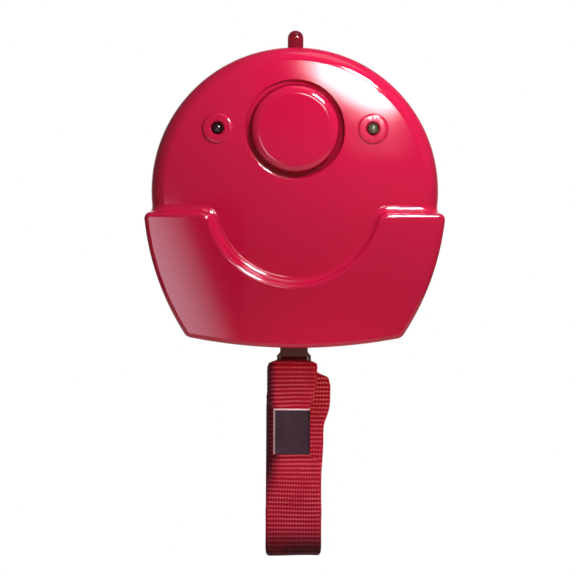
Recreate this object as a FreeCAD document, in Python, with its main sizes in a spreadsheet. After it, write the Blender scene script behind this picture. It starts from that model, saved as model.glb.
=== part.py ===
import FreeCAD, Part
import math
import operator
import os

import Sketcher
from FreeCAD import Placement, Rotation, Vector

# A body-worn panic button: a round crowned face in a raised lower jaw, a press button,
# three lamps, a pull plug with a webbing hand strap, and a sprung belt clip behind.
# X runs to the right, Z up, and the front faces -Y. The origin is on the middle of the
# flat back of the case, straight behind the centre of the round face.

os.makedirs("parts", exist_ok=True)
doc = FreeCAD.newDocument("panic_button")
sheet = doc.addObject("Spreadsheet::Sheet", "Sizes")

# Driving dimensions in millimetres. Depths are measured forwards from the flat back.
DIMENSIONS = {
    # Case
    "face_radius": 38.8,
    "case_depth": 21.5,
    "crown_radius": 400.0,
    "face_round": 4.5,
    "wall": 2.0,
    "parting": 9.0,
    "back_round": 2.5,
    "seam": 0.25,
    # Jaw round the lower half of the face
    "jaw_overhang": 1.9,
    "jaw_rise": 3.4,
    "ledge_drop": 6.0,
    "base_half": 29.0,
    "base_drop": 39.6,
    "side_bend": 71.0,
    "base_bend": 148.0,
    "smile_radius": 23.2,
    "smile_drop": 2.0,
    "smile_corner": 3.0,
    "outer_corner": 1.7,
    "base_corner": 2.6,
    "foot_round": 2.2,
    "lip_round": 1.4,
    "jaw_hollow": 17.5,
    # Press button
    "button_height": 16.6,
    "crown_flat": 0.5,
    "groove_radius": 13.4,
    "groove_depth": 1.8,
    "groove_lip": 0.3,
    "button_radius": 11.4,
    "button_rise": 0.6,
    "button_round": 1.8,
    "button_wall": 1.6,
    "button_gap": 0.25,
    "button_travel": 0.8,
    "flange_radius": 12.8,
    "flange_thick": 1.0,
    "collar_depth": 18.6,
    "spring_radius": 7.0,
    "spring_wire": 0.8,
    "spring_seat": 0.06,
    "spring_turns": 4.0,
    # Lamps
    "eye_spread": 21.0,
    "eye_height": 16.7,
    "eye_radius": 4.2,
    "eye_rise": 0.5,
    "eye_round": 0.75,
    "eye_mouth": 2.1,
    "lamp_radius": 1.5,
    "lamp_height": 5.1,
    "lamp_flange": 1.9,
    "lamp_gap": 0.2,
    "top_lamp_radius": 2.15,
    "top_lamp_tip": 43.4,
    "top_lamp_base": 33.2,
    "top_lamp_depth": 14.3,
    # Circuit board and what stands on it
    "board_radius": 30.5,
    "board_depth": 14.6,
    "board_thick": 1.6,
    "board_seat": 4.0,
    "board_foot_half": 13.0,
    "switch_side": 6.0,
    "switch_height": 2.2,
    "plunger_radius": 1.7,
    "plunger_well": 0.8,
    "running_gap": 0.1,
    "module_left": 20.0,
    "module_width": 16.0,
    "module_drop": 7.0,
    "module_height": 12.0,
    "module_thick": 1.9,
    "chip_left": 5.0,
    "chip_width": 9.0,
    "chip_drop": 8.0,
    "chip_height": 7.0,
    "chip_thick": 1.4,
    "antenna_edge": 0.6,
    "antenna_width": 1.0,
    "antenna_thick": 0.6,
    "antenna_start": 5.2,
    "antenna_gap": 0.8,
    # Battery compartment
    "cell_radius": 5.25,
    "cell_length": 43.5,
    "cell_pitch": 10.8,
    "cell_gap": 0.4,
    "cell_tip_radius": 2.7,
    "cell_tip": 0.8,
    "contact_half": 4.0,
    "contact_plate": 0.4,
    "contact_dome": 2.4,
    "contact_gap": 0.1,
    "contact_inset": 0.6,
    "cells_drop": 15.8,
    "tub_half": 25.0,
    "tub_wall": 2.8,
    "tub_depth": 13.3,
    "door_thick": 1.5,
    "door_lap": 1.8,
    "door_gap": 0.2,
    "door_tab_half": 5.0,
    "door_tab": 6.2,
    "door_grip_drop": 19.0,
    # Grip grooves of the door and the thumb end of the clip
    "grip_half": 6.5,
    "grip_pitch": 2.0,
    "grip_width": 0.8,
    "grip_depth": 0.4,
    # Screws
    "upper_screw_x": 22.0,
    "upper_screw_z": 25.5,
    "lower_screw_x": 32.0,
    "lower_screw_drop": 13.0,
    "screw_radius": 1.25,
    "screw_head": 2.5,
    "screw_sink": 3.0,
    "screw_length": 12.0,
    "screw_head_high": 1.8,
    "boss_radius": 2.9,
    "board_screw_x": 26.5,
    "board_screw_z": 3.0,
    "board_foot_screw_x": 9.5,
    "board_foot_screw_seat": 3.0,
    "small_screw_radius": 0.9,
    "small_screw_head": 1.9,
    "small_head_high": 1.2,
    "small_screw_length": 3.0,
    "door_head_high": 0.8,
    "door_screw_length": 4.4,
    # Pull plug and its socket
    "plug_depth": 12.4,
    "collar_half": 3.75,
    "plug_half": 4.6,
    "plug_thick": 4.4,
    "eye_thick": 2.4,
    "bar_below_slot": 3.9,
    "bar_half": 1.2,
    "slot_half": 3.8,
    "slot_below_collar": 3.6,
    "collar_sink": 1.3,
    "collar_high": 2.4,
    "pin_radius": 1.75,
    "pin_length": 9.5,
    "socket_half": 4.2,
    "socket_thick": 7.0,
    "socket_high": 9.8,
    "socket_gap": 1.5,
    # Webbing strap and crimp
    "webbing": 1.2,
    "webbing_width": 15.0,
    "ring_gap": 0.7,
    "crimp_below_bar": 10.3,
    "crimp_high": 12.3,
    "crimp_width": 9.9,
    "crimp_sheet": 0.7,
    "crimp_shift": 0.5,
    "hand_length": 27.6,
    "tail_gap": 2.2,
    "tail_below_bar": 0.8,
    # Belt clip
    "clip_pin_z": 30.0,
    "clip_pin_y": 3.6,
    "clip_pin_radius": 1.25,
    "clip_half": 11.0,
    "clip_thick": 2.2,
    "belt_gap": 6.0,
    "knuckle_radius": 2.9,
    "ear_thick": 2.6,
    "thumb_top": 38.0,
    "clip_foot": 10.0,
    "hook_high": 9.0,
    "hook_nose": 3.5,
    "hook_clear": 0.5,
    "hook_sweep": 1.9,
    "clip_corner": 2.0,
    "thumb_grip_drop": 2.6,
    "spring_bay": 7.2,
    "clip_spring_wire": 0.6,
    "clip_spring_gap": 0.25,
    "clip_spring_width": 6.0,
    "clip_spring_turns": 3.0,
    "clip_spring_leg": 6.0,
}


class Size:
    """A length that carries its number and the words of the sheet that give it."""

    SIGNS = {"+": operator.add, "-": operator.sub, "*": operator.mul, "/": operator.truediv}

    def __init__(self, number, words):
        self.number = number
        self.words = words

    def joined(self, sign, other):
        other = size(other)
        return Size(self.SIGNS[sign](self.number, other.number), f"({self.words} {sign} {other.words})")

    def __add__(self, other):
        return self.joined("+", other)

    def __sub__(self, other):
        return self.joined("-", other)

    def __mul__(self, other):
        return self.joined("*", other)

    def __truediv__(self, other):
        return self.joined("/", other)

    def __neg__(self):
        return size(0).joined("-", self)


def size(value):
    """Any plain number as a Size."""
    if isinstance(value, Size):
        return value
    return Size(float(value), f"{value:.6f}" if value >= 0 else f"(0 - {-value:.6f})")


def root(value):
    return Size(math.sqrt(value.number), f"sqrt({value.words})")


class Sheet:
    """The driving dimensions, each read as an attribute by its plain name."""

    def __init__(self, dimensions):
        for row, (name, number) in enumerate(dimensions.items(), start=1):
            sheet.set(f"A{row}", name)
            sheet.set(f"B{row}", str(number))
            sheet.setAlias(f"B{row}", name)
            setattr(self, name, Size(number, f"Sizes.{name}"))


S = Sheet(DIMENSIONS)
doc.recompute()

# Places that follow from the driving sizes, counted down from the foot of the jaw
S.jaw_half = S.face_radius + S.jaw_overhang
S.jaw_foot = S.base_drop + S.base_bend - root(S.base_bend * S.base_bend - S.base_half * S.base_half)
S.collar_top = S.jaw_foot - S.collar_sink
S.slot_top = S.collar_top + S.slot_below_collar
S.bar_drop = S.slot_top + S.bar_below_slot
S.socket_foot = S.collar_top - S.socket_gap
S.socket_top = S.socket_foot - S.socket_high
S.board_foot = S.socket_foot - S.board_seat
S.board_foot_screw_drop = S.board_foot - S.board_foot_screw_seat
S.crimp_top = S.bar_drop + S.crimp_below_bar
S.crimp_foot = S.crimp_top + S.crimp_high
S.strap_foot = S.crimp_foot + S.hand_length
S.tail_top = S.bar_drop + S.tail_below_bar
S.board_front = S.board_depth + S.board_thick
S.cell_depth = S.wall + S.cell_gap + S.cell_radius


def bind(thing, prop, value):
    thing.setExpression(prop, size(value).words)


def new_body(name):
    body = doc.addObject("PartDesign::Body", name)
    body.Label = name
    body.Placement = Placement()
    return body


def new_sketch(body, name, role, offset=0):
    """A sketch on one of the body's own planes, moved along the plane's normal."""
    sketch = body.newObject("Sketcher::SketchObject", name)
    plane = next(f for f in body.Origin.OriginFeatures if f.Role == role)
    sketch.AttachmentSupport = [(plane, "")]
    sketch.MapMode = "FlatFace"
    bind(sketch, "AttachmentOffset.Base.z", offset)
    return sketch


def fix_point(sketch, curve, end, x, y):
    for kind, value in (("DistanceX", x), ("DistanceY", y)):
        value = size(value)
        if abs(value.number) < 1e-9:
            onto = -2 if kind == "DistanceX" else -1
            sketch.addConstraint(Sketcher.Constraint("PointOnObject", curve, end, onto))
            continue
        index = sketch.addConstraint(Sketcher.Constraint(kind, -1, 1, curve, end, value.number))
        bind(sketch, f"Constraints[{index}]", value)


def outline(sketch, points):
    """Closed outline through the points. A third value on a point bends the run that
    leaves it: its radius, with the centre on the left of the run, or right if negative."""
    places = [(size(p[0]), size(p[1])) for p in points]
    for index, point in enumerate(points):
        x0, y0 = (v.number for v in places[index])
        x1, y1 = (v.number for v in places[(index + 1) % len(points)])
        if len(point) == 2:
            sketch.addGeometry(Part.LineSegment(Vector(x0, y0, 0), Vector(x1, y1, 0)))
            continue
        radius = size(point[2]).number
        chord = math.hypot(x1 - x0, y1 - y0)
        rise = math.copysign(math.sqrt(max(radius**2 - chord**2 / 4, 0)), radius)
        cx = (x0 + x1) / 2 - rise * (y1 - y0) / chord
        cy = (y0 + y1) / 2 + rise * (x1 - x0) / chord
        first, last = math.atan2(y0 - cy, x0 - cx), math.atan2(y1 - cy, x1 - cx)
        if radius < 0:
            first, last = last, first
        circle = Part.Circle(Vector(cx, cy, 0), Vector(0, 0, 1), abs(radius))
        sketch.addGeometry(Part.ArcOfCircle(circle, first, last))
    start_of = [2 if len(p) > 2 and size(p[2]).number < 0 else 1 for p in points]
    for index, point in enumerate(points):
        after = (index + 1) % len(points)
        own_end = 3 - start_of[index]
        sketch.addConstraint(Sketcher.Constraint("Coincident", index, own_end, after, start_of[after]))
        fix_point(sketch, index, start_of[index], *places[index])
        if len(point) > 2:
            radius = size(point[2])
            if radius.number < 0:
                radius = -radius
            row = sketch.addConstraint(Sketcher.Constraint("Radius", index, radius.number))
            bind(sketch, f"Constraints[{row}]", radius)


def circle(sketch, x, y, radius):
    place = Vector(size(x).number, size(y).number, 0)
    index = sketch.addGeometry(Part.Circle(place, Vector(0, 0, 1), size(radius).number))
    fix_point(sketch, index, 3, x, y)
    row = sketch.addConstraint(Sketcher.Constraint("Radius", index, size(radius).number))
    bind(sketch, f"Constraints[{row}]", radius)


def pad(body, sketch, length, backwards=False):
    feature = body.newObject("PartDesign::Pad", sketch.Label + "_pad")
    feature.Profile = sketch
    bind(feature, "Length", length)
    feature.Reversed = backwards
    return feature


def pocket(body, sketch, length, forwards=False):
    feature = body.newObject("PartDesign::Pocket", sketch.Label + "_pocket")
    feature.Profile = sketch
    bind(feature, "Length", length)
    feature.Reversed = forwards
    return feature


def revolve(body, sketch, kind="PartDesign::Revolution", axis="H_Axis"):
    feature = body.newObject(kind, sketch.Label + "_turn")
    feature.Profile = sketch
    feature.ReferenceAxis = (sketch, [axis])
    feature.Angle = 360
    return feature


def fillet(body, radius, wanted, kind="Fillet"):
    """Rounds the edges of the body so far whose middle point passes the test, or chamfers them."""
    doc.recompute()
    base = body.Tip
    names = []
    for number, edge in enumerate(base.Shape.Edges, start=1):
        middle = edge.valueAt((edge.FirstParameter + edge.LastParameter) / 2)
        if wanted(edge, middle):
            names.append(f"Edge{number}")
    feature = body.newObject(f"PartDesign::{kind}", f"{body.Label}_{kind.lower()}")
    feature.Base = (base, names)
    bind(feature, "Radius" if kind == "Fillet" else "Size", radius)
    doc.recompute()
    return feature


def slab(body, name, role, points, start, length):
    """Adds an outline drawn on a plane of the body, from start over a length along its normal."""
    sketch = new_sketch(body, name, role, start)
    outline(sketch, points)
    return pad(body, sketch, length)


def cutout(body, name, role, points, start, length):
    sketch = new_sketch(body, name, role, start)
    outline(sketch, points)
    return pocket(body, sketch, length, forwards=True)


def drums(body, name, role, places, radius, start, length):
    """Adds one round post at each place of a plane of the body."""
    sketch = new_sketch(body, name, role, start)
    for x, y in places:
        circle(sketch, x, y, radius)
    return pad(body, sketch, length)


def holes(body, name, role, places, radius, start, length):
    sketch = new_sketch(body, name, role, start)
    for x, y in places:
        circle(sketch, x, y, radius)
    return pocket(body, sketch, length, forwards=True)


def turned(body, name, points, kind="PartDesign::Revolution", height=0):
    """A profile of depth and radius, turned about a line along the depth at a height."""
    sketch = new_sketch(body, name, "YZ_Plane")
    bind(sketch, "AttachmentOffset.Base.y", height)
    outline(sketch, points)
    return revolve(body, sketch, kind)


def box_points(left, right, low, high):
    return [(left, low), (right, low), (right, high), (left, high)]


def on_face(body, wanted):
    """A test for the edges of the body's faces that pass the test given."""
    doc.recompute()
    edges = [edge for face in body.Tip.Shape.Faces if wanted(face) for edge in face.Edges]
    return lambda edge, middle: any(edge.isSame(other) for other in edges)


def along_depth(edge):
    return isinstance(edge.Curve, Part.Line) and abs(edge.tangentAt(edge.FirstParameter).y) > 0.99


def crown_at(radius, depth=None, bend=None):
    """Depth of the crowned face at a radius from its centre."""
    bend = bend if bend is not None else S.crown_radius
    depth = depth if depth is not None else S.case_depth
    return depth - (bend - root(bend * bend - size(radius) * size(radius)))


def face_profile(inset=0):
    """Half section of the crowned round face, as depth and radius, with its rounded rim."""
    radius = S.face_radius - inset
    depth = S.case_depth - inset
    bend = S.crown_radius - inset
    rim = S.face_round - inset
    middle = -depth + bend
    reach = root((bend - rim) * (bend - rim) - (radius - rim) * (radius - rim))
    share = bend / (bend - rim)
    return [
        (-S.parting, 0),
        (-S.parting, radius),
        (middle - reach, radius, rim),
        (middle - reach * share, (radius - rim) * share, bend),
        (-crown_at(S.crown_flat, depth, bend), S.crown_flat),
        (-crown_at(S.crown_flat, depth, bend), 0),
    ]


def jaw_points():
    """Front view of the jaw, with the round smile cut into its top edge."""
    rise = S.ledge_drop - S.smile_drop
    smile_half = root(S.smile_radius * S.smile_radius - rise * rise)
    return [
        (-S.jaw_half, -S.ledge_drop, S.side_bend),
        (-S.base_half, -S.base_drop, S.base_bend),
        (S.base_half, -S.base_drop, S.side_bend),
        (S.jaw_half, -S.ledge_drop),
        (smile_half, -S.ledge_drop, -S.smile_radius),
        (-smile_half, -S.ledge_drop),
    ]


def jaw_hollow_points():
    top_half = S.jaw_half - S.wall * 2
    top = -S.ledge_drop - S.wall
    foot_half = S.base_half - S.wall
    foot = -S.base_drop + S.wall * 1.1
    return [
        (-top_half, top, S.side_bend),
        (-foot_half, foot, S.base_bend),
        (foot_half, foot, S.side_bend),
        (top_half, top),
    ]


def round_jaw_corners(body):
    beside_face = S.face_radius.number - 4
    fillet(body, S.outer_corner, lambda e, m: along_depth(e) and abs(m.x) > beside_face and m.z > -10)
    fillet(body, S.base_corner, lambda e, m: along_depth(e) and m.z < -S.base_drop.number + 3)


def case_screw_places():
    return [
        (S.upper_screw_x, S.upper_screw_z),
        (-S.upper_screw_x, S.upper_screw_z),
        (S.lower_screw_x, -S.lower_screw_drop),
        (-S.lower_screw_x, -S.lower_screw_drop),
    ]


def board_screw_places():
    return [
        (S.board_screw_x, S.board_screw_z),
        (-S.board_screw_x, S.board_screw_z),
        (S.board_foot_screw_x, -S.board_foot_screw_drop),
        (-S.board_foot_screw_x, -S.board_foot_screw_drop),
    ]


def make_front_shell():
    body = new_body("front_shell")
    jaw_top = S.case_depth + S.jaw_rise
    slab(body, "jaw", "XZ_Plane", jaw_points(), S.parting, jaw_top + 1 - S.parting)
    smile_end = S.face_radius.number - 8
    fillet(body, S.smile_corner, lambda e, m: along_depth(e) and abs(m.x) < smile_end and m.z > -10)
    round_jaw_corners(body)
    reach = S.base_half + S.base_drop
    bend = S.crown_radius + S.jaw_rise
    turned(body, "above_the_jaw", [
        (-jaw_top - 4, 0),
        (-jaw_top, 0, -bend),
        (-crown_at(reach, jaw_top, bend), reach),
        (-jaw_top - 4, reach),
    ], "PartDesign::Groove")
    fillet(body, S.lip_round, on_face(body, lambda f: f.Surface.TypeId == "Part::GeomSphere"))
    turned(body, "face", face_profile())
    crown = on_face(body, lambda f: f.Surface.TypeId == "Part::GeomToroid" or (
        f.Surface.TypeId == "Part::GeomSphere" and abs(f.Surface.Radius - S.crown_radius.number) < 0.01))
    fillet(body, S.foot_round, lambda e, m: crown(e, m) and m.z < -S.ledge_drop.number + 0.5)
    fillet(body, S.seam, on_face(body, lambda f: f.CenterOfMass.y > -S.parting.number - 0.001), "Chamfer")
    turned(body, "face_hollow", face_profile(S.wall), "PartDesign::Groove")
    cutout(body, "jaw_hollow", "XZ_Plane", jaw_hollow_points(), S.parting, S.jaw_hollow - S.parting)
    inner = crown_at(S.button_height) - S.wall
    drums(body, "button_collar", "XZ_Plane", [(0, S.button_height)], S.groove_radius + 2, S.collar_depth,
          inner + 0.5 - S.collar_depth)
    holes(body, "flange_room", "XZ_Plane", [(0, S.button_height)], S.flange_radius + S.button_gap, S.parting,
          S.collar_depth - S.parting)
    drums(body, "case_bosses", "XZ_Plane", case_screw_places(), S.boss_radius, S.parting,
          crown_at(S.upper_screw_x + 12) - S.wall / 2 - S.parting)
    drums(body, "board_posts", "XZ_Plane", board_screw_places(), S.small_screw_head + 0.4,
          S.board_depth + S.board_thick, S.wall * 1.2)
    surface = crown_at(S.button_height)
    turned(body, "button_groove", [
        (-surface - 2, 0),
        (-surface - 2, S.groove_radius + S.groove_lip),
        (-surface, S.groove_radius + S.groove_lip, S.groove_lip),
        (-surface + S.groove_lip, S.groove_radius),
        (-surface + S.groove_depth - S.groove_lip, S.groove_radius, -S.groove_lip),
        (-surface + S.groove_depth, S.groove_radius - S.groove_lip),
        (-surface + S.groove_depth, S.button_radius + S.button_gap),
        (-S.collar_depth + 1, S.button_radius + S.button_gap),
        (-S.collar_depth + 1, 0),
    ], "PartDesign::Groove", S.button_height)
    eye_surface = -crown_at(root(S.eye_spread * S.eye_spread + S.eye_height * S.eye_height))
    eye_top = eye_surface - S.eye_rise
    for side, sign in (("left", -1), ("right", 1)):
        boss = new_sketch(body, f"{side}_eye_boss", "YZ_Plane", S.eye_spread * sign)
        bind(boss, "AttachmentOffset.Base.y", S.eye_height)
        outline(boss, [
            (eye_surface + 1, 0),
            (eye_surface + 1, S.eye_radius),
            (eye_top + S.eye_round, S.eye_radius, S.eye_round),
            (eye_top, S.eye_radius - S.eye_round),
            (eye_top, 0),
        ])
        revolve(body, boss, "PartDesign::Revolution")
        mouth = new_sketch(body, f"{side}_eye_mouth", "YZ_Plane", S.eye_spread * sign)
        bind(mouth, "AttachmentOffset.Base.y", S.eye_height)
        outline(mouth, [
            (eye_surface - 2, 0),
            (eye_surface - 2, S.eye_mouth),
            (eye_top, S.eye_mouth),
            (eye_top + S.eye_mouth - S.lamp_radius, S.lamp_radius),
            (eye_top + S.eye_mouth - S.lamp_radius, 0),
        ])
        revolve(body, mouth, "PartDesign::Groove")
    holes(body, "eye_holes", "XZ_Plane", [(-S.eye_spread, S.eye_height), (S.eye_spread, S.eye_height)],
          S.lamp_radius + S.lamp_gap, S.parting + 6, S.case_depth)
    holes(body, "top_lamp_hole", "XY_Plane", [(0, -S.top_lamp_depth)], S.top_lamp_radius + S.lamp_gap,
          S.face_radius - S.wall * 2, S.wall * 3)
    mouth_half = S.collar_half + S.running_gap * 2
    mouth_thick = S.plug_thick / 2 + S.running_gap * 2
    cutout(body, "plug_mouth", "XY_Plane", box_points(
        -mouth_half, mouth_half, -S.plug_depth - mouth_thick, -S.plug_depth + mouth_thick), -S.base_drop - 6, 6.5)
    holes(body, "case_screw_bores", "XZ_Plane", case_screw_places(), S.screw_radius + 0.05, S.parting,
          S.screw_sink + S.screw_length - S.parting + 0.5)
    holes(body, "board_screw_bores", "XZ_Plane", board_screw_places(), S.small_screw_radius + 0.05,
          S.board_depth + S.board_thick, S.wall)
    return body


def tub_box(grow=0):
    """The battery tub in the back view, grown by a wall or a lap."""
    half = S.tub_half + grow
    high = -S.cells_drop + S.cell_pitch + grow
    low = -S.cells_drop - S.cell_pitch - grow
    return half, low, high


def door_points(gap=0):
    half, low, high = tub_box(S.door_lap - gap)
    tab = S.door_tab_half - gap
    return [
        (-half, high),
        (half, high),
        (half, low),
        (tab, low),
        (tab, low - S.door_tab),
        (-tab, low - S.door_tab),
        (-tab, low),
        (-half, low),
    ]


def grip_grooves(body, top, depth):
    """Three short grooves across the middle, cut forwards from a depth of the back."""
    for number in range(3):
        low = top - S.grip_pitch * number - S.grip_width
        groove = box_points(-S.grip_half, S.grip_half, low, low + S.grip_width)
        cutout(body, f"grip_{number}", "XZ_Plane", groove, depth, S.grip_depth)


def door_screw_place():
    half, low, high = tub_box(S.door_lap)
    return (0, low - S.door_tab / 2)


def ear_points(radius):
    """Side view of an ear: a tongue from the back of the case with a round end at the pin."""
    return [
        (-S.wall / 2, S.clip_pin_z - radius),
        (S.clip_pin_y, S.clip_pin_z - radius, radius),
        (S.clip_pin_y + radius, S.clip_pin_z, radius),
        (S.clip_pin_y, S.clip_pin_z + radius),
        (-S.wall / 2, S.clip_pin_z + radius),
    ]


def make_rear_cover():
    body = new_body("rear_cover")
    slab(body, "jaw_back", "XZ_Plane", jaw_points(), 0, S.parting)
    round_jaw_corners(body)
    drums(body, "face_back", "XZ_Plane", [(0, 0)], S.face_radius, 0, S.parting)
    fillet(body, S.back_round, on_face(body, lambda f: f.CenterOfMass.y > -0.001))
    fillet(body, S.seam, on_face(body, lambda f: f.CenterOfMass.y < -S.parting.number + 0.001), "Chamfer")
    holes(body, "face_back_hollow", "XZ_Plane", [(0, 0)], S.face_radius - S.wall, S.wall, S.parting)
    cutout(body, "jaw_back_hollow", "XZ_Plane", jaw_hollow_points(), S.wall, S.parting)
    half, low, high = tub_box(S.tub_wall)
    root_depth = S.wall / 2
    slab(body, "tub", "XZ_Plane", box_points(-half, half, low, high), root_depth, S.tub_depth + 1 - root_depth)
    drums(body, "screw_towers", "XZ_Plane", case_screw_places(), S.boss_radius + 1.1, root_depth,
          S.parting - root_depth)
    drums(body, "door_screw_tower", "XZ_Plane", [door_screw_place()], S.boss_radius, root_depth, S.parting - 3)
    half, low, high = tub_box()
    cutout(body, "tub_hollow", "XZ_Plane", box_points(-half, half, low, high), -1, S.tub_depth + 1)
    cutout(body, "door_seat", "XZ_Plane", door_points(), -1, S.door_thick + 1 + 0.05)
    holes(body, "screw_ways", "XZ_Plane", case_screw_places(), S.screw_radius + 0.25, -1, S.parting + 2)
    holes(body, "screw_sinks", "XZ_Plane", case_screw_places(), S.screw_head + 0.3, -1, S.screw_sink + 1)
    holes(body, "door_screw_bore", "XZ_Plane", [door_screw_place()], S.small_screw_radius + 0.05,
          S.door_thick, 4)
    for name, start in (("left_ear", -S.clip_half - S.ear_thick - 0.3), ("right_ear", S.clip_half + 0.3)):
        slab(body, name, "YZ_Plane", ear_points(S.knuckle_radius), start, S.ear_thick)
    holes(body, "ear_bores", "YZ_Plane", [(S.clip_pin_y, S.clip_pin_z)], S.clip_pin_radius + 0.03,
          -S.clip_half - S.ear_thick * 2, (S.clip_half + S.ear_thick * 2) * 2)
    return body


def make_button_cap():
    body = new_body("button_cap")
    top = crown_at(S.button_height) + S.button_rise
    flange = S.collar_depth - S.button_gap - S.flange_thick
    inner = S.button_radius - S.button_wall
    turned(body, "cap", [
        (-flange, inner),
        (-flange, S.flange_radius),
        (-flange - S.flange_thick, S.flange_radius),
        (-flange - S.flange_thick, S.button_radius),
        (-top + S.button_round, S.button_radius, S.button_round),
        (-top, S.button_radius - S.button_round),
        (-top, 0),
        (-top + S.button_wall, 0),
        (-top + S.button_wall, inner),
    ], height=S.button_height)
    return body


def bow(start, heading, end):
    """The arc that leaves start along heading and ends at end."""
    chord = end - start
    half = chord.Length / 2
    lean = math.acos(min(1, heading.dot(chord) / chord.Length))
    aside = heading * half - chord * (heading.dot(chord) / chord.Length / 2)
    if aside.Length < 1e-9:
        return Part.makeLine(start, end)
    crown = start + chord / 2 + aside.normalize() * half * math.tan(lean / 2)
    return Part.Arc(start, crown, end).toShape()


def coil_arcs(radius, rise, halves, first=None, last=None):
    """A coil round Z drawn as two smooth arcs to each half turn, with end headings of its own if given."""
    angles = [i * math.pi for i in range(halves + 1)]
    lift = rise / (halves * math.pi)
    points = [Vector(radius * math.cos(a), radius * math.sin(a), lift * a) for a in angles]
    headings = [Vector(-radius * math.sin(a), radius * math.cos(a), lift).normalize() for a in angles]
    headings[0] = first or headings[0]
    headings[-1] = last or headings[-1]
    arcs = []
    for start, end, leave, arrive in zip(points, points[1:], headings, headings[1:]):
        chord = end - start
        along = chord.dot(leave + arrive)
        spread = 2 * (1 - leave.dot(arrive))
        reach = (math.sqrt(along * along + spread * chord.dot(chord)) - along) / spread
        middle = (start + leave * reach + end - arrive * reach) / 2
        arcs += [bow(start, leave, middle), bow(end, arrive * -1, middle)]
    return arcs, points


def wound(name, path, start, heading, wire):
    """Round wire swept along a path, kept as a plain solid."""
    ring = Part.Wire(Part.makeCircle(wire, start, heading))
    feature = doc.addObject("Part::Feature", name)
    feature.Label = name
    feature.Shape = Part.Wire(Part.__sortEdges__(path)).makePipeShell([ring], True, False)
    return feature


def make_button_spring():
    """Compression spring between the board and the underside of the button cap."""
    low = S.board_front.number
    high = (crown_at(S.button_height) + S.button_rise - S.button_wall).number
    wire = S.spring_wire.number / 2
    seat = wire + S.spring_seat.number
    rise = high - low - 2 * seat
    arcs, points = coil_arcs(S.spring_radius.number, rise, int(S.spring_turns.number * 2))
    feature = wound("button_spring", arcs, points[0], Vector(0, 1, 0), wire)
    foot = Vector(0, -low - seat, S.button_height.number)
    feature.Placement = Placement(foot, Rotation(Vector(1, 0, 0), 90))
    return feature


def make_circuit_board():
    body = new_body("circuit_board")
    drums(body, "board", "XZ_Plane", [(0, 0)], S.board_radius, S.board_depth, S.board_thick)
    slab(body, "board_foot", "XZ_Plane", box_points(
        -S.board_foot_half, S.board_foot_half, -S.board_foot, -S.board_radius / 2),
        S.board_depth, S.board_thick)
    gap = S.socket_half + 0.3
    cutout(body, "socket_notch", "XZ_Plane", box_points(-gap, gap, -S.board_foot - 1, -S.socket_top + 0.4),
           S.board_depth - 1, S.board_thick + 2)
    holes(body, "board_screw_holes", "XZ_Plane", board_screw_places(), S.small_screw_radius + 0.15,
          S.board_depth - 1, S.board_thick + 2)
    return body


def make_press_switch():
    body = new_body("press_switch")
    half = S.switch_side / 2
    front = S.board_depth + S.board_thick
    slab(body, "switch_case", "XZ_Plane",
         box_points(-half, half, S.button_height - half, S.button_height + half), front, S.switch_height)
    holes(body, "plunger_well", "XZ_Plane", [(0, S.button_height)], S.plunger_radius + S.running_gap,
          front + S.plunger_well, S.switch_height)
    return body


def make_switch_plunger():
    body = new_body("switch_plunger")
    start = S.board_front + S.plunger_well + S.button_travel + S.running_gap
    top = crown_at(S.button_height) + S.button_rise - S.button_wall
    drums(body, "plunger", "XZ_Plane", [(0, S.button_height)], S.plunger_radius, start, top - 0.05 - start)
    return body


def lamp_profile(base, flange_radius, flange_high, radius, tip):
    """Half section of a bullet lamp as a run along its axis and a radius."""
    return [
        (base, 0),
        (base, flange_radius),
        (base - flange_high, flange_radius),
        (base - flange_high, radius),
        (tip + radius, radius, radius),
        (tip, 0),
    ]


def make_eye_lamp(name, x):
    body = new_body(name)
    base = -(S.board_depth + S.board_thick)
    sketch = new_sketch(body, f"{name}_section", "YZ_Plane", x)
    bind(sketch, "AttachmentOffset.Base.y", S.eye_height)
    outline(sketch, lamp_profile(base, S.lamp_flange, 1, S.lamp_radius, base - S.lamp_height))
    revolve(body, sketch)
    return body


def make_top_lamp():
    body = new_body("top_led")
    sketch = new_sketch(body, "top_led_section", "XZ_Plane", S.top_lamp_depth)
    outline(sketch, [
        (0, S.top_lamp_base),
        (S.top_lamp_radius + 0.6, S.top_lamp_base),
        (S.top_lamp_radius + 0.6, S.top_lamp_base + 1),
        (S.top_lamp_radius, S.top_lamp_base + 1),
        (S.top_lamp_radius, S.top_lamp_tip - S.top_lamp_radius, S.top_lamp_radius),
        (0, S.top_lamp_tip),
    ])
    revolve(body, sketch, axis="V_Axis")
    for name, x in (("left_lead", -1.5), ("right_lead", 1.0)):
        slab(body, name, "XZ_Plane", box_points(x, x + 0.5, S.top_lamp_base - 5, S.top_lamp_base + 0.2),
             S.board_depth - 0.5, 0.5)
    return body


def make_block(name, left, width, drop, height, thick):
    """A component soldered to the front of the board."""
    body = new_body(name)
    slab(body, f"{name}_block", "XZ_Plane", box_points(left, left + width, -drop - height, -drop),
         S.board_front, thick)
    return body


def make_antenna():
    """Flat strip along the upper left edge of the board."""
    body = new_body("antenna")
    outer = S.board_radius - S.antenna_edge
    inner = outer - S.antenna_width
    first = S.antenna_start
    last = S.eye_spread - S.lamp_flange - S.antenna_gap
    slab(body, "antenna_strip", "XZ_Plane", [
        (-first, root(inner * inner - first * first), inner),
        (-last, root(inner * inner - last * last)),
        (-last, root(outer * outer - last * last), -outer),
        (-first, root(outer * outer - first * first)),
    ], S.board_front, S.antenna_thick)
    return body


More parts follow.
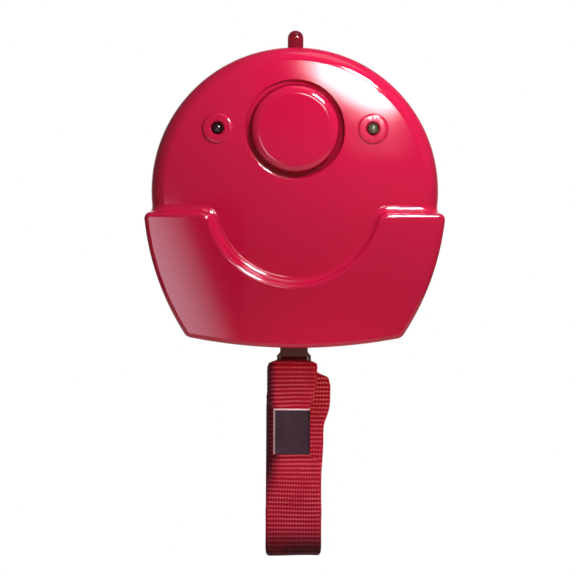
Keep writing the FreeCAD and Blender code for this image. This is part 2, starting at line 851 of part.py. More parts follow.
def make_cell(name, drop, side):
    """One cell lying along X, its raised end on the side given."""
    body = new_body(name)
    half = S.cell_length / 2
    place = [(-S.cell_depth, -drop)]
    drums(body, f"{name}_can", "YZ_Plane", place, S.cell_radius, -half, S.cell_length)
    start = half if side > 0 else -half - S.cell_tip
    drums(body, f"{name}_tip", "YZ_Plane", place, S.cell_tip_radius, start, S.cell_tip)
    return body


def make_contact(name, side):
    """Sprung contact plate at one end of the battery tub."""
    body = new_body(name)
    half, low, high = tub_box(-S.contact_inset)
    middle = -S.cell_depth
    plate = S.contact_plate
    start = half + S.contact_inset - plate if side > 0 else -half - S.contact_inset
    slab(body, f"{name}_plate", "YZ_Plane",
         box_points(middle - S.contact_half, middle + S.contact_half, low, high), start, plate)
    reach = S.tub_half - plate - S.cell_length / 2 - S.cell_tip - S.contact_gap
    start = S.tub_half - plate - reach if side > 0 else -S.tub_half + plate
    places = [(middle, -S.cells_drop + S.cell_pitch / 2), (middle, -S.cells_drop - S.cell_pitch / 2)]
    drums(body, f"{name}_domes", "YZ_Plane", places, S.contact_dome, start, reach)
    return body


def make_battery_door():
    body = new_body("battery_door")
    slab(body, "door", "XZ_Plane", door_points(S.door_gap), 0, S.door_thick)
    holes(body, "door_screw_hole", "XZ_Plane", [door_screw_place()], S.small_screw_radius + 0.2, -1, 4)
    holes(body, "door_screw_sink", "XZ_Plane", [door_screw_place()], S.small_screw_head + 0.2, -1, 1.8)
    grip_grooves(body, -S.door_grip_drop, 0)
    return body


def make_screws(name, places, radius, head, head_high, start, length):
    """Screws driven from the back: one plain head and shank at each place."""
    body = new_body(name)
    drums(body, f"{name}_heads", "XZ_Plane", places, head, start, head_high)
    drums(body, f"{name}_shanks", "XZ_Plane", places, radius, head_high / 2 + start, length)
    return body


def make_pull_socket():
    body = new_body("pull_socket")
    half = S.socket_half
    thick = S.socket_thick / 2
    slab(body, "socket", "XY_Plane", box_points(-half, half, -S.plug_depth - thick, -S.plug_depth + thick),
         -S.socket_foot, S.socket_foot - S.socket_top)
    holes(body, "socket_bore", "XY_Plane", [(0, -S.plug_depth)], S.pin_radius + S.running_gap,
          -S.socket_foot - 1, S.pin_length + 1)
    return body


def make_pull_plug():
    """Moulded plug: a collar that seats in the case, flared into a flat eye for the strap."""
    body = new_body("pull_plug")
    thick = S.plug_thick
    slab(body, "plug_collar", "XZ_Plane", [
        (-S.collar_half, -S.collar_top),
        (-S.collar_half, -S.collar_top - S.collar_high),
        (-S.plug_half, -S.slot_top),
        (S.plug_half, -S.slot_top),
        (S.collar_half, -S.collar_top - S.collar_high),
        (S.collar_half, -S.collar_top),
    ], S.plug_depth - thick / 2, thick)
    foot = S.bar_drop + S.bar_half
    slab(body, "plug_eye", "XZ_Plane", box_points(-S.plug_half, S.plug_half, -foot, -S.slot_top + 0.4),
         S.plug_depth - S.eye_thick / 2, S.eye_thick)
    fillet(body, 1.0, lambda e, m: along_depth(e) and m.z < -foot.number + 0.1)
    slot_foot = -S.bar_drop + S.bar_half
    cutout(body, "plug_slot", "XZ_Plane", box_points(-S.slot_half, S.slot_half, slot_foot, -S.slot_top),
           S.plug_depth - S.eye_thick, S.eye_thick * 2)
    return body


def make_plug_pin():
    body = new_body("plug_pin")
    drums(body, "pin", "XY_Plane", [(0, -S.plug_depth)], S.pin_radius, -S.collar_top, S.pin_length)
    return body


def strap_y():
    """The strap hangs in the plane of the plug, so its own depths count from there."""
    return -S.plug_depth


def make_hand_strap():
    body = new_body("hand_strap")
    middle = strap_y()
    inner = S.bar_half + S.ring_gap
    outer = inner + S.webbing
    bar = -S.bar_drop
    narrow = S.slot_half - 0.3
    slab(body, "strap_ring", "YZ_Plane", [
        (middle - outer, bar - 1.2),
        (middle - inner, bar - 1.2),
        (middle - inner, bar, -inner),
        (middle, bar + inner, -inner),
        (middle + inner, bar),
        (middle + inner, bar - 1.2),
        (middle + outer, bar - 1.2),
        (middle + outer, bar, outer),
        (middle, bar + outer, outer),
        (middle - outer, bar),
    ], -narrow, narrow * 2)
    left, right = -S.webbing_width / 2 + 0.4, S.webbing_width / 2 - 1.6
    for name, side in (("front_leg", -1), ("back_leg", 1)):
        slab(body, name, "YZ_Plane", [
            (middle + outer * side, bar - 0.7),
            (middle + inner * side, bar - 0.7),
            (middle - S.webbing * side * 0.2, -S.crimp_top),
            (middle + S.webbing * side, -S.crimp_top),
        ], left, right - left)
    neck = S.crimp_width / 2 - S.crimp_sheet - 0.1
    slab(body, "neck", "XZ_Plane", box_points(
        -S.crimp_shift - neck, -S.crimp_shift + neck, -S.crimp_foot - 0.5, -S.crimp_top + 0.2),
        S.plug_depth - S.webbing, S.webbing * 2)
    outer_fold = S.webbing * 2 + S.tail_gap / 2
    fold = -S.strap_foot + outer_fold
    half = S.webbing_width / 2
    slab(body, "hand_front", "XZ_Plane", [
        (-S.crimp_shift - neck, -S.crimp_foot),
        (-half, -S.crimp_foot - 9),
        (-half - 0.4, fold),
        (half - 0.4, fold),
        (half - 0.4, -S.crimp_foot - 9),
        (-S.crimp_shift + neck, -S.crimp_foot),
    ], S.plug_depth - S.webbing, S.webbing * 2)
    front = middle - S.webbing
    back = front + outer_fold * 2
    slab(body, "hand_fold", "YZ_Plane", [
        (front, fold, outer_fold),
        (middle - S.webbing + outer_fold, -S.strap_foot, outer_fold),
        (back, fold),
        (back - S.webbing * 2, fold, -S.tail_gap / 2),
        (middle - S.webbing + outer_fold, fold - S.tail_gap / 2, -S.tail_gap / 2),
        (front + S.webbing * 2, fold),
    ], -half - 0.4, S.webbing_width)
    slab(body, "hand_back", "XZ_Plane", [
        (-half - 0.4, fold),
        (half - 0.4, fold),
        (half + 0.3, -S.crimp_top - 4),
        (half + 1.9, -S.crimp_top + 2),
        (half + 1.9, -S.tail_top),
        (-half + 0.2, -S.tail_top),
    ], -back, S.webbing * 2)
    return body


def make_strap_crimp():
    """Sheet metal band squeezed round the neck of the strap."""
    body = new_body("strap_crimp")
    half = S.crimp_width / 2
    thick = S.webbing + S.crimp_sheet + 0.1
    shift = -S.crimp_shift
    slab(body, "band", "XY_Plane", box_points(
        shift - half, shift + half, strap_y() - thick, strap_y() + thick), -S.crimp_foot,
        S.crimp_foot - S.crimp_top)
    fillet(body, 0.6, lambda e, m: isinstance(e.Curve, Part.Line) and (
        abs(e.tangentAt(e.FirstParameter).z) > 0.99))
    bore = S.crimp_sheet
    cutout(body, "band_bore", "XY_Plane", box_points(
        shift - half + bore, shift + half - bore, strap_y() - thick + bore, strap_y() + thick - bore),
        -S.crimp_foot - 1, S.crimp_foot - S.crimp_top + 2)
    return body


def make_belt_clip():
    """Moulded lever clip: thumb end above the pin, long tongue and hooked foot below it."""
    body = new_body("belt_clip")
    face = S.belt_gap
    back = face + S.clip_thick
    foot = -S.clip_foot
    nose = foot + S.hook_nose
    slab(body, "lever", "YZ_Plane", [
        (face, S.thumb_top),
        (face, foot + S.hook_high),
        (S.hook_clear, nose),
        (S.hook_clear + S.hook_sweep, foot),
        (S.hook_clear + S.hook_sweep + S.clip_thick, foot),
        (S.hook_clear + S.clip_thick, nose),
        (back, foot + S.hook_high - S.hook_clear),
        (back, S.thumb_top),
    ], -S.clip_half, S.clip_half * 2)
    slab(body, "knuckle", "YZ_Plane", [
        (face + 0.5, S.clip_pin_z - S.knuckle_radius),
        (face + 0.5, S.clip_pin_z + S.knuckle_radius),
        (S.clip_pin_y, S.clip_pin_z + S.knuckle_radius, S.knuckle_radius),
        (S.clip_pin_y - S.knuckle_radius, S.clip_pin_z, S.knuckle_radius),
        (S.clip_pin_y, S.clip_pin_z - S.knuckle_radius),
    ], -S.clip_half, S.clip_half * 2)
    cutout(body, "spring_gap", "YZ_Plane", box_points(
        S.clip_pin_y - S.knuckle_radius - 1, face + 0.01,
        S.clip_pin_z - S.knuckle_radius - 1, S.clip_pin_z + S.knuckle_radius + 1),
        -S.spring_bay / 2, S.spring_bay)
    holes(body, "pin_bore", "YZ_Plane", [(S.clip_pin_y, S.clip_pin_z)], S.clip_pin_radius + 0.06,
          -S.clip_half - 1, S.clip_half * 2 + 2)
    fillet(body, S.clip_corner, lambda e, m: along_depth(e) and (
        m.z > S.thumb_top.number - 0.1 or m.z < foot.number + 0.1))
    grip_grooves(body, S.thumb_top - S.thumb_grip_drop, -back)
    return body


def make_clip_pin():
    body = new_body("clip_pin")
    half = S.clip_half + 0.3 + S.ear_thick
    drums(body, "pin_rod", "YZ_Plane", [(S.clip_pin_y, S.clip_pin_z)], S.clip_pin_radius, -half, half * 2)
    return body


def make_clip_spring():
    """Torsion spring round the pin: its legs press the case and the thumb end apart."""
    wire = S.clip_spring_wire.number / 2
    radius = S.clip_pin_radius.number + S.clip_spring_gap.number + wire
    width, leg = S.clip_spring_width.number, S.clip_spring_leg.number
    along = Vector(0, 1, 0)
    halves = int(S.clip_spring_turns.number) * 2 + 1
    arcs, points = coil_arcs(radius, width, halves, along, along * -1)
    case_end = points[0] - along * leg
    thumb_end = points[-1] - along * leg
    path = [Part.makeLine(case_end, points[0])] + arcs + [Part.makeLine(points[-1], thumb_end)]
    feature = wound("clip_spring", path, case_end, along, wire)
    turn = FreeCAD.Matrix()
    turn.A11, turn.A12, turn.A13 = 0, 0, 1
    turn.A21, turn.A22, turn.A23 = -1, 0, 0
    turn.A31, turn.A32, turn.A33 = 0, -1, 0
    feature.Placement = Placement(
        Vector(-width / 2, S.clip_pin_y.number, S.clip_pin_z.number), Rotation(turn))
    return feature


def build():
    make_front_shell()
    make_rear_cover()
    make_button_cap()
    make_button_spring()
    make_circuit_board()
    make_press_switch()
    make_switch_plunger()
    make_eye_lamp("left_led", -S.eye_spread)
    make_eye_lamp("right_led", S.eye_spread)
    make_top_lamp()
    make_block("transmitter_module", -S.module_left, S.module_width, S.module_drop, S.module_height,
               S.module_thick)
    make_block("control_chip", S.chip_left, S.chip_width, S.chip_drop, S.chip_height, S.chip_thick)
    make_antenna()
    make_cell("upper_cell", S.cells_drop - S.cell_pitch / 2, 1)
    make_cell("lower_cell", S.cells_drop + S.cell_pitch / 2, -1)
    make_contact("left_contact", -1)
    make_contact("right_contact", 1)
    make_battery_door()
    make_screws("case_screws", case_screw_places(), S.screw_radius, S.screw_head, S.screw_head_high,
                S.screw_sink - S.screw_head_high, S.screw_length)
    make_screws("board_screws", board_screw_places(), S.small_screw_radius, S.small_screw_head,
                S.small_head_high, S.board_depth - S.small_head_high, S.small_screw_length)
    make_screws("door_screw", [door_screw_place()], S.small_screw_radius, S.small_screw_head,
                S.door_head_high, 0, S.door_screw_length)
    make_pull_socket()
    make_pull_plug()
    make_plug_pin()
    make_hand_strap()
    make_strap_crimp()
    make_belt_clip()
    make_clip_pin()
    make_clip_spring()


build()
doc.recompute()

parts = [thing for thing in doc.Objects if thing.TypeId in ("PartDesign::Body", "Part::Feature")]
faults = [thing.Label for thing in doc.Objects if "Invalid" in thing.State or "Error" in thing.State]
faults += [part.Label for part in parts if part.Shape.isNull() or not part.Shape.isValid()]
if faults:
    raise RuntimeError("not built: " + ", ".join(faults))
for part in parts:
    part.Shape.exportStep(f"parts/{part.Label}.step")
    print(part.Label, len(part.Shape.Solids), round(part.Shape.Volume, 1))
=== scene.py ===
import math

import bpy
import numpy as np
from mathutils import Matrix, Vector


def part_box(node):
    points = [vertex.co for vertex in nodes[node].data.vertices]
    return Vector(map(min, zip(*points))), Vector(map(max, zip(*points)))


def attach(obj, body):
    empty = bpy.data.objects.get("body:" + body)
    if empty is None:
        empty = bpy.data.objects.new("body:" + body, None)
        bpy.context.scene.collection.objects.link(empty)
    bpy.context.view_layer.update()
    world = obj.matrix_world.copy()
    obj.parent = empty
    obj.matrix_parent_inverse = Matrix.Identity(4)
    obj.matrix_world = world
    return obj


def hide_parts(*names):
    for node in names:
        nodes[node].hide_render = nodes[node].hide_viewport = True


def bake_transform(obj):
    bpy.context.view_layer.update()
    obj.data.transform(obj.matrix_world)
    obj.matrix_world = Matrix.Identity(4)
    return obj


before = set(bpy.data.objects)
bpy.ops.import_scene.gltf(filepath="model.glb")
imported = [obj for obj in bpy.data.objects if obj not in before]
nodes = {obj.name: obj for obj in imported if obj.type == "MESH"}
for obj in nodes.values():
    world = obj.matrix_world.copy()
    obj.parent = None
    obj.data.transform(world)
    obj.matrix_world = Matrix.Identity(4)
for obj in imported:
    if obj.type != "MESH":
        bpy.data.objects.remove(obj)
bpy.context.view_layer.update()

scene = bpy.context.scene

# The alarm is pictured as in a parts catalogue: hung up by its case and seen square on from the front with a
# long lens, with the strap hanging straight down.
shell_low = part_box("front_shell")[0]
picture_width = 0.1549
camera_distance = 1.6
camera_data = bpy.data.cameras.new("catalogue_camera")
camera_data.sensor_width = 36
camera_data.lens = camera_data.sensor_width * (camera_distance + shell_low.y) / picture_width
camera_data.clip_start = 0.01
camera = bpy.data.objects.new("catalogue_camera", camera_data)
scene.collection.objects.link(camera)
camera.location = (-0.0017, -camera_distance, -0.0263)
camera.rotation_euler = (math.radians(90), math.radians(-0.3), 0)
scene.camera = camera
scene.view_settings.view_transform = "Standard"


# The room is a white sweep: a pale round floor well below the hanging alarm, and white walls that lie behind
# it. In front of the alarm the room is dim, so that the gloss keeps its colour.
def step(tree, kind, feeds=None, **settings):
    """One step of a finish: its settings, and what feeds each of its sockets."""
    made = tree.nodes.new(kind)
    for name, value in settings.items():
        setattr(made, name, value)
    for name, value in (feeds or {}).items():
        socket = made.inputs[name]
        if isinstance(value, bpy.types.NodeSocket):
            tree.links.new(value, socket)
        else:
            socket.default_value = value
    return made


def sum_up(tree, how, first, second=0.0, third=0.0):
    """Arithmetic on two or three values of a finish."""
    return step(tree, "ShaderNodeMath", {0: first, 1: second, 2: third}, operation=how).outputs[0]


room = bpy.data.worlds.new("white_room")
scene.world = room
room.use_nodes = True
air = room.node_tree
air.nodes.clear()
facing = step(air, "ShaderNodeSeparateXYZ", {0: step(air, "ShaderNodeTexCoord").outputs["Generated"]})
behind = step(air, "ShaderNodeMapRange", {
    "Value": facing.outputs["Y"], "From Min": 0.7, "From Max": 0.95, "To Min": 0.16, "To Max": 1.0,
}, interpolation_type="SMOOTHSTEP").outputs[0]
rays = step(air, "ShaderNodeLightPath")
seen = sum_up(air, "MAXIMUM", rays.outputs["Is Camera Ray"], rays.outputs["Is Transmission Ray"])
glow = step(air, "ShaderNodeMix", {"Factor": seen, "A": behind, "B": 1.0}).outputs[0]
walls = step(air, "ShaderNodeBackground", {"Color": (1, 1, 1, 1), "Strength": glow})
air.links.new(walls.outputs[0], step(air, "ShaderNodeOutputWorld").inputs["Surface"])

floor_radius = 0.55
floor_drop = 0.25
floor_sides = 95
floor_mesh = bpy.data.meshes.new("floor")
turns = np.arange(floor_sides) * math.tau / floor_sides
rim = [(floor_radius * math.cos(a), floor_radius * math.sin(a), -floor_drop) for a in turns]
floor_mesh.from_pydata(rim, [], [range(len(rim))])
floor = bpy.data.objects.new("floor", floor_mesh)
scene.collection.objects.link(floor)
pale = bpy.data.materials.new("pale_floor")
pale.use_nodes = True
paint = pale.node_tree
paint.nodes.clear()
matt = step(paint, "ShaderNodeBsdfDiffuse", {"Color": (0.82, 0.82, 0.82, 1)})
lift = step(paint, "ShaderNodeEmission", {"Color": (1, 1, 1, 1), "Strength": 0.42})
both = step(paint, "ShaderNodeAddShader", {0: matt.outputs[0], 1: lift.outputs[0]})
path = step(paint, "ShaderNodeLightPath")
looked_at = sum_up(paint, "MAXIMUM", path.outputs["Is Camera Ray"], path.outputs["Is Glossy Ray"])
cover = step(paint, "ShaderNodeMixShader", {0: looked_at, 1: matt.outputs[0], 2: both.outputs[0]})
paint.links.new(cover.outputs[0], step(paint, "ShaderNodeOutputMaterial").inputs["Surface"])
floor_mesh.materials.append(pale)


# Studio lamps: a small bare key lamp close by at the upper right, with a second one that only glints, a weak
# broad fill from the right, one overhead, a low one on the webbing and one for the back.
def hang_lamp(name, place, aim, side, power, tint, mirrored=True, kind="AREA"):
    """A studio lamp of this width, turned to where it is aimed."""
    lamp = bpy.data.lights.new(name, kind)
    if kind == "AREA":
        lamp.shape = "SQUARE"
        lamp.size = side
    else:
        lamp.shadow_soft_size = side / 2
    lamp.energy = power
    lamp.color = tint
    hung = bpy.data.objects.new(name, lamp)
    scene.collection.objects.link(hung)
    hung.location = place
    hung.rotation_euler = (Vector(aim) - Vector(place)).to_track_quat("-Z", "Y").to_euler()
    hung.visible_glossy = mirrored
    return hung


white = (1.0, 1.0, 1.0)
middle = (0, 0, 0)
hang_lamp("key_lamp", (0.048, -0.097, 0.083), middle, side=0.026, power=0.49, tint=(1.0, 0.92, 1.35),
          kind="POINT")
glint = hang_lamp("glint_lamp", (0.047, -0.098, 0.082), middle, side=0.03, power=0.9, tint=white,
                  kind="POINT")
glint.visible_diffuse = False
hang_lamp("fill_lamp", (0.3, -0.86, 0.08), (0, 0, -0.03), side=0.5, power=1.0, tint=(1.0, 1.0, 0.05),
          mirrored=False)
hang_lamp("overhead_lamp", (0.11, -0.12, 0.5), middle, side=0.24, power=0.3, tint=white)
low_lamp = hang_lamp("low_lamp", (0.10, -0.17, -0.05), (0.002, -0.016, -0.064), side=0.03, power=0.62,
                     tint=(1.0, 0.95, 0.6), mirrored=False, kind="SPOT")
low_lamp.data.spot_size = math.radians(24)
low_lamp.data.spot_blend = 1.0
hang_lamp("back_lamp", (0.25, 0.7, 0.35), (0, 0, -0.02), side=0.5, power=3.0, tint=white, mirrored=False)


# Studio panels: two sheets of light that show only as reflections on the gloss. A window lies across the
# upper right of the face, with a dimmer pane below it, and a pale curtain lies down the left of the jaw.
def ramp(tree, value, start, end, low=0.0, high=1.0, kind="SMOOTHSTEP"):
    """A soft edge between two places."""
    return step(tree, "ShaderNodeMapRange", {
        "Value": value, "From Min": start, "From Max": end, "To Min": low, "To Max": high,
    }, interpolation_type=kind).outputs[0]


def product(tree, *values):
    """The values multiplied together."""
    result = values[0]
    for value in values[1:]:
        result = sum_up(tree, "MULTIPLY", result, value)
    return result


def object_place(tree):
    """The place on the piece, as its X, Y and Z."""
    place = step(tree, "ShaderNodeTexCoord").outputs["Object"]
    return step(tree, "ShaderNodeSeparateXYZ", {0: place}).outputs


def soft_panel(name, left, right, low, high):
    """A sheet of light facing the alarm. It shows only in reflections."""
    mesh = bpy.data.meshes.new(name)
    corners = [(left, panel_plane, low), (left, panel_plane, high), (right, panel_plane, high),
               (right, panel_plane, low)]
    mesh.from_pydata(corners, [], [(0, 1, 2, 3)])
    panel = bpy.data.objects.new(name, mesh)
    scene.collection.objects.link(panel)
    panel.visible_camera = False
    panel.visible_shadow = False
    panel.visible_diffuse = False
    cloth = bpy.data.materials.new(name)
    cloth.use_nodes = True
    cloth.node_tree.nodes.clear()
    mesh.materials.append(cloth)
    place = object_place(cloth.node_tree)
    return cloth.node_tree, place["X"], place["Z"]


def light_up(tree, strength, tint):
    """Only the side of the panel towards the alarm gives light."""
    lit = step(tree, "ShaderNodeEmission", {"Color": tint, "Strength": strength})
    dark = step(tree, "ShaderNodeEmission", {"Color": (0, 0, 0, 1), "Strength": 0.0})
    side = step(tree, "ShaderNodeNewGeometry").outputs["Backfacing"]
    face = step(tree, "ShaderNodeMixShader", {0: side, 1: lit.outputs[0], 2: dark.outputs[0]})
    tree.links.new(face.outputs[0], step(tree, "ShaderNodeOutputMaterial").inputs["Surface"])


panel_plane = -0.52
window_left = 0.0225
window_foot = 0.0885
corner_lean = math.radians(30.8)
corner_reach = 0.1185
window_centre = (0.0004, 0.008)
window_reach = 0.152
window_strength = 34.0
low_pane_strength = 1.05
window, x, z = soft_panel("window_panel", left=-0.04, right=0.34, low=0.03, high=0.42)
across_corner = sum_up(window, "MULTIPLY_ADD", x, math.sin(corner_lean),
                       sum_up(window, "MULTIPLY", z, math.cos(corner_lean)))
into_corner = ramp(window, across_corner, corner_reach - 0.011, corner_reach + 0.007)
left_fade = ramp(window, x, window_left - 0.045, window_left + 0.006, kind="LINEAR")
from_left = sum_up(window, "POWER", left_fade, 3.5)
foot_fade = ramp(window, z, window_foot - 0.022, window_foot + 0.007, kind="LINEAR")
from_foot = sum_up(window, "POWER", foot_fade, 3.0)
sideways = sum_up(window, "MULTIPLY_ADD", x, math.cos(corner_lean),
                  sum_up(window, "MULTIPLY", z, -math.sin(corner_lean)))
from_right = ramp(window, sideways, 0.052, 0.034)
from_centre = step(window, "ShaderNodeCombineXYZ", {
    "X": sum_up(window, "SUBTRACT", x, window_centre[0]),
    "Y": sum_up(window, "SUBTRACT", z, window_centre[1])}).outputs[0]
outwards = step(window, "ShaderNodeVectorMath", {0: from_centre}, operation="LENGTH").outputs["Value"]
from_rim = ramp(window, outwards, window_reach + 0.002, window_reach - 0.002)
pane = product(window, into_corner, from_left, from_foot, from_right, from_rim)
low_pane = product(window, ramp(window, x, 0.052, 0.10, 0.4, 1.0), ramp(window, x, 0.052, 0.06),
                   ramp(window, x, 0.127, 0.10), ramp(window, z, 0.040, 0.052), ramp(window, z, 0.20, 0.15))
glare = sum_up(window, "MULTIPLY_ADD", pane, window_strength,
               product(window, low_pane, low_pane_strength))
light_up(window, glare, (1.0, 1.0, 1.0, 1))

curtain_left = -0.24
curtain_foot = -0.17
curtain_edge = -0.1045
curtain_lean = 0.396
curtain_strength = 4.9
curtain, x, z = soft_panel("curtain_panel", left=curtain_left, right=-0.05, low=curtain_foot, high=0.0)
past_edge = sum_up(curtain, "SUBTRACT", curtain_edge,
                   sum_up(curtain, "MULTIPLY_ADD", sum_up(curtain, "ADD", z, 0.03), curtain_lean, x))
inside = ramp(curtain, past_edge, 0.0, 0.053, kind="LINEAR")
hem = product(curtain, ramp(curtain, x, curtain_left, -0.175), ramp(curtain, z, curtain_foot, -0.152),
              ramp(curtain, z, 0.0, -0.012))
sheen = product(curtain, sum_up(curtain, "POWER", inside, 0.9), hem, curtain_strength)
light_up(curtain, sheen, (0.9, 1.0, 1.15, 1))


# Case: front shell, rear cover, button cap and battery door are moulded in one glossy pinkish-red plastic
# and polished in the tool. A faint ripple of the skin and hairline scuffs show only in the reflections, and
# shade is painted into the colour of the groove round the button, darker towards the bottom.
def dye(red, green, blue):
    """A paint chip's screen colour as the light it gives back."""
    chip = [c / 255 for c in (red, green, blue)]
    return tuple(((c + 0.055) / 1.055) ** 2.4 if c > 0.04 else c / 12.92 for c in chip) + (1,)


def new_effect(name, takes, gives):
    """A part of a finish that several materials share, with named inputs and outputs."""
    tree = bpy.data.node_groups.new(name, "ShaderNodeTree")
    for label, value in takes.items():
        socket = tree.interface.new_socket(name=label, in_out="INPUT", socket_type="NodeSocketFloat")
        socket.default_value = value
    for label in gives:
        tree.interface.new_socket(name=label, in_out="OUTPUT", socket_type="NodeSocketFloat")
    return tree, tree.nodes.new("NodeGroupInput").outputs, tree.nodes.new("NodeGroupOutput").inputs


moulded_skin, takes, gives = new_effect(
    "moulded_skin", {"Ripple Size": 260.0, "Scuffs": 0.3, "Gloss": 0.1}, ("Height", "Roughness", "Shade"))
place = step(moulded_skin, "ShaderNodeTexCoord").outputs["Object"]
ripple = step(moulded_skin, "ShaderNodeTexNoise", {
    "Vector": place, "Scale": takes["Ripple Size"], "Detail": 2.0}).outputs["Fac"]
cloud = step(moulded_skin, "ShaderNodeTexNoise", {
    "Vector": place, "Scale": 34.0, "Detail": 3.0}).outputs["Fac"]
swirl = step(moulded_skin, "ShaderNodeTexNoise", {
    "Vector": place, "Scale": 95.0, "Detail": 1.0, "Distortion": 1.6}).outputs["Fac"]
from_crease = sum_up(moulded_skin, "ABSOLUTE", sum_up(moulded_skin, "SUBTRACT", swirl, 0.5))
hair = ramp(moulded_skin, from_crease, 0.0045, 0.0)
specks = step(moulded_skin, "ShaderNodeTexVoronoi", {"Vector": place, "Scale": 420.0, "Randomness": 1.0})
dust = ramp(moulded_skin, specks.outputs["Distance"], 0.12, 0.04)
scratched = product(moulded_skin, cloud, takes["Scuffs"], hair)
scuffed = sum_up(moulded_skin, "MULTIPLY_ADD", dust, product(moulded_skin, takes["Scuffs"], 0.25), scratched)
rough = sum_up(moulded_skin, "MULTIPLY_ADD", cloud, 0.04, takes["Gloss"])
moulded_skin.links.new(sum_up(moulded_skin, "MULTIPLY_ADD", scuffed, 0.3, rough), gives["Roughness"])
moulded_skin.links.new(sum_up(moulded_skin, "MULTIPLY_ADD", scuffed, -0.4, ripple), gives["Height"])
moulded_skin.links.new(cloud, gives["Shade"])


def new_material(name):
    """A material with its tree and its shader."""
    material = bpy.data.materials.new(name)
    material.use_nodes = True
    return material, material.node_tree, material.node_tree.nodes["Principled BSDF"]


def set_mix(tree, factor, first, second):
    """From the first colour to the second by the factor."""
    mix = tree.nodes.new("ShaderNodeMix")
    mix.data_type = "RGBA"
    if isinstance(factor, bpy.types.NodeSocket):
        tree.links.new(factor, mix.inputs[0])
    else:
        mix.inputs[0].default_value = factor
    for socket, colour in ((mix.inputs[6], first), (mix.inputs[7], second)):
        if isinstance(colour, bpy.types.NodeSocket):
            tree.links.new(colour, socket)
        else:
            socket.default_value = colour
    return mix.outputs[2]


def skinned(name, effect, colour, shadow, depth, **values):
    """A material in two shades of a colour, with the roughness and relief of a shared effect."""
    material, tree, base = new_material(name)
    skin = step(tree, "ShaderNodeGroup", node_tree=effect)
    for label, value in values.items():
        skin.inputs[label.replace("_", " ").title()].default_value = value
    tree.links.new(set_mix(tree, skin.outputs["Shade"], shadow, colour), base.inputs["Base Color"])
    tree.links.new(skin.outputs["Roughness"], base.inputs["Roughness"])
    bump = step(tree, "ShaderNodeBump", {
        "Strength": 1.0, "Distance": depth, "Height": skin.outputs["Height"]})
    tree.links.new(bump.outputs[0], base.inputs["Normal"])
    return material, base


def moulded_plastic(name, colour, shadow, gloss=0.1, ripple_size=260.0, scuffs=0.3, depth=0.000004):
    """A moulded plastic that runs a little darker where the flow was slow."""
    material, plastic = skinned(name, moulded_skin, colour, shadow, depth,
                                ripple_size=ripple_size, scuffs=scuffs, gloss=gloss)
    plastic.inputs["IOR"].default_value = 1.49
    return material


def finish_nodes(material, *names):
    """Gives these solids their material, on every slot they have."""
    for name in names:
        for slot in nodes[name].material_slots:
            slot.material = material


crown_bend = 0.4
crown_top = 0.0215
crown_middle = crown_bend - crown_top
jaw_rise = 0.0034


def crown_leans(mesh):
    """Where a mesh lies on the crown of the face or of the jaw, its normals follow the true sphere."""
    leans = np.array([corner.vector[:] for corner in mesh.corner_normals])
    from_middle = np.array([mesh.vertices[loop.vertex_index].co[:] for loop in mesh.loops])
    from_middle -= np.array([0, crown_middle, 0])
    bends = np.linalg.norm(from_middle, axis=1)
    true_lean = from_middle / bends[:, None]
    near = 0.00002
    nearly_parallel = 0.985
    crowned = (np.abs(bends - crown_bend) < near) | (np.abs(bends - crown_bend - jaw_rise) < near)
    crowned &= (true_lean * leans).sum(axis=1) > nearly_parallel
    leans[crowned] = true_lean[crowned]
    mesh.normals_split_custom_set(leans.tolist())


def polished(name, node, body, material, reshape=None, crease=math.radians(30), edge=0.0):
    """The skin of a solid with its facets run together, so that reflections cross them without a break.
    Its places can be reshaped first, and its sharp edges rounded over."""
    solid = nodes[node].data
    corners = np.empty(len(solid.vertices) * 3)
    solid.vertices.foreach_get("co", corners)
    spots, same = np.unique(corners.reshape(-1, 3).round(7), axis=0, return_inverse=True)
    same = same.ravel()
    if reshape:
        reshape(spots)
    facets = [[int(same[i]) for i in facet.vertices] for facet in solid.polygons]
    mesh = bpy.data.meshes.new(name)
    mesh.from_pydata(spots.tolist(), [], [facet for facet in facets if len(set(facet)) == 3])
    mesh.polygons.foreach_set("use_smooth", [True] * len(mesh.polygons))
    mesh.set_sharp_from_angle(angle=crease)
    rough_cut = bpy.data.objects.new(name, mesh)
    scene.collection.objects.link(rough_cut)
    if edge:
        flats = rough_cut.modifiers.new("flats", "DECIMATE")
        flats.decimate_type = "DISSOLVE"
        flats.angle_limit = math.radians(1.0)
        rounding = rough_cut.modifiers.new("rounding", "BEVEL")
        rounding.width = edge
        rounding.segments = 3
        rounding.limit_method = "ANGLE"
        rounding.angle_limit = crease
    even = rough_cut.modifiers.new("even", "WEIGHTED_NORMAL")
    even.mode = "FACE_AREA"
    even.weight = 80
    even.keep_sharp = True
    worked_out = rough_cut.evaluated_get(bpy.context.evaluated_depsgraph_get())
    finished = bpy.data.meshes.new_from_object(worked_out)
    rough_cut.modifiers.clear()
    rough_cut.data = finished
    crown_leans(finished)
    finished.materials.clear()
    finished.materials.append(material)
    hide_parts(node)
    if isinstance(body, str):
        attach(rough_cut, body)
    else:
        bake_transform(rough_cut)


cap_low, cap_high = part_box("button_cap")
cap_middle = (cap_low.z + cap_high.z) / 2
cap_radius = 0.0114
bore_gap = 0.00025
shoulder_inner = 0.0096
shoulder_depth = 0.0037
soft_inner = 0.0093
soft_radius = 0.0119
lamp_low, lamp_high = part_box("right_led")
boss_x = (lamp_low.x + lamp_high.x) / 2
boss_z = (lamp_low.z + lamp_high.z) / 2
boss_radius = 0.00423
boss_lean = math.hypot(boss_x, boss_z) / crown_bend


def cap_reach(spots):
    """How far each place is from the button's middle line, and whether it is as shallow as its shoulder."""
    return np.hypot(spots[:, 0], spots[:, 2] - cap_middle), spots[:, 1] < cap_low.y + shoulder_depth


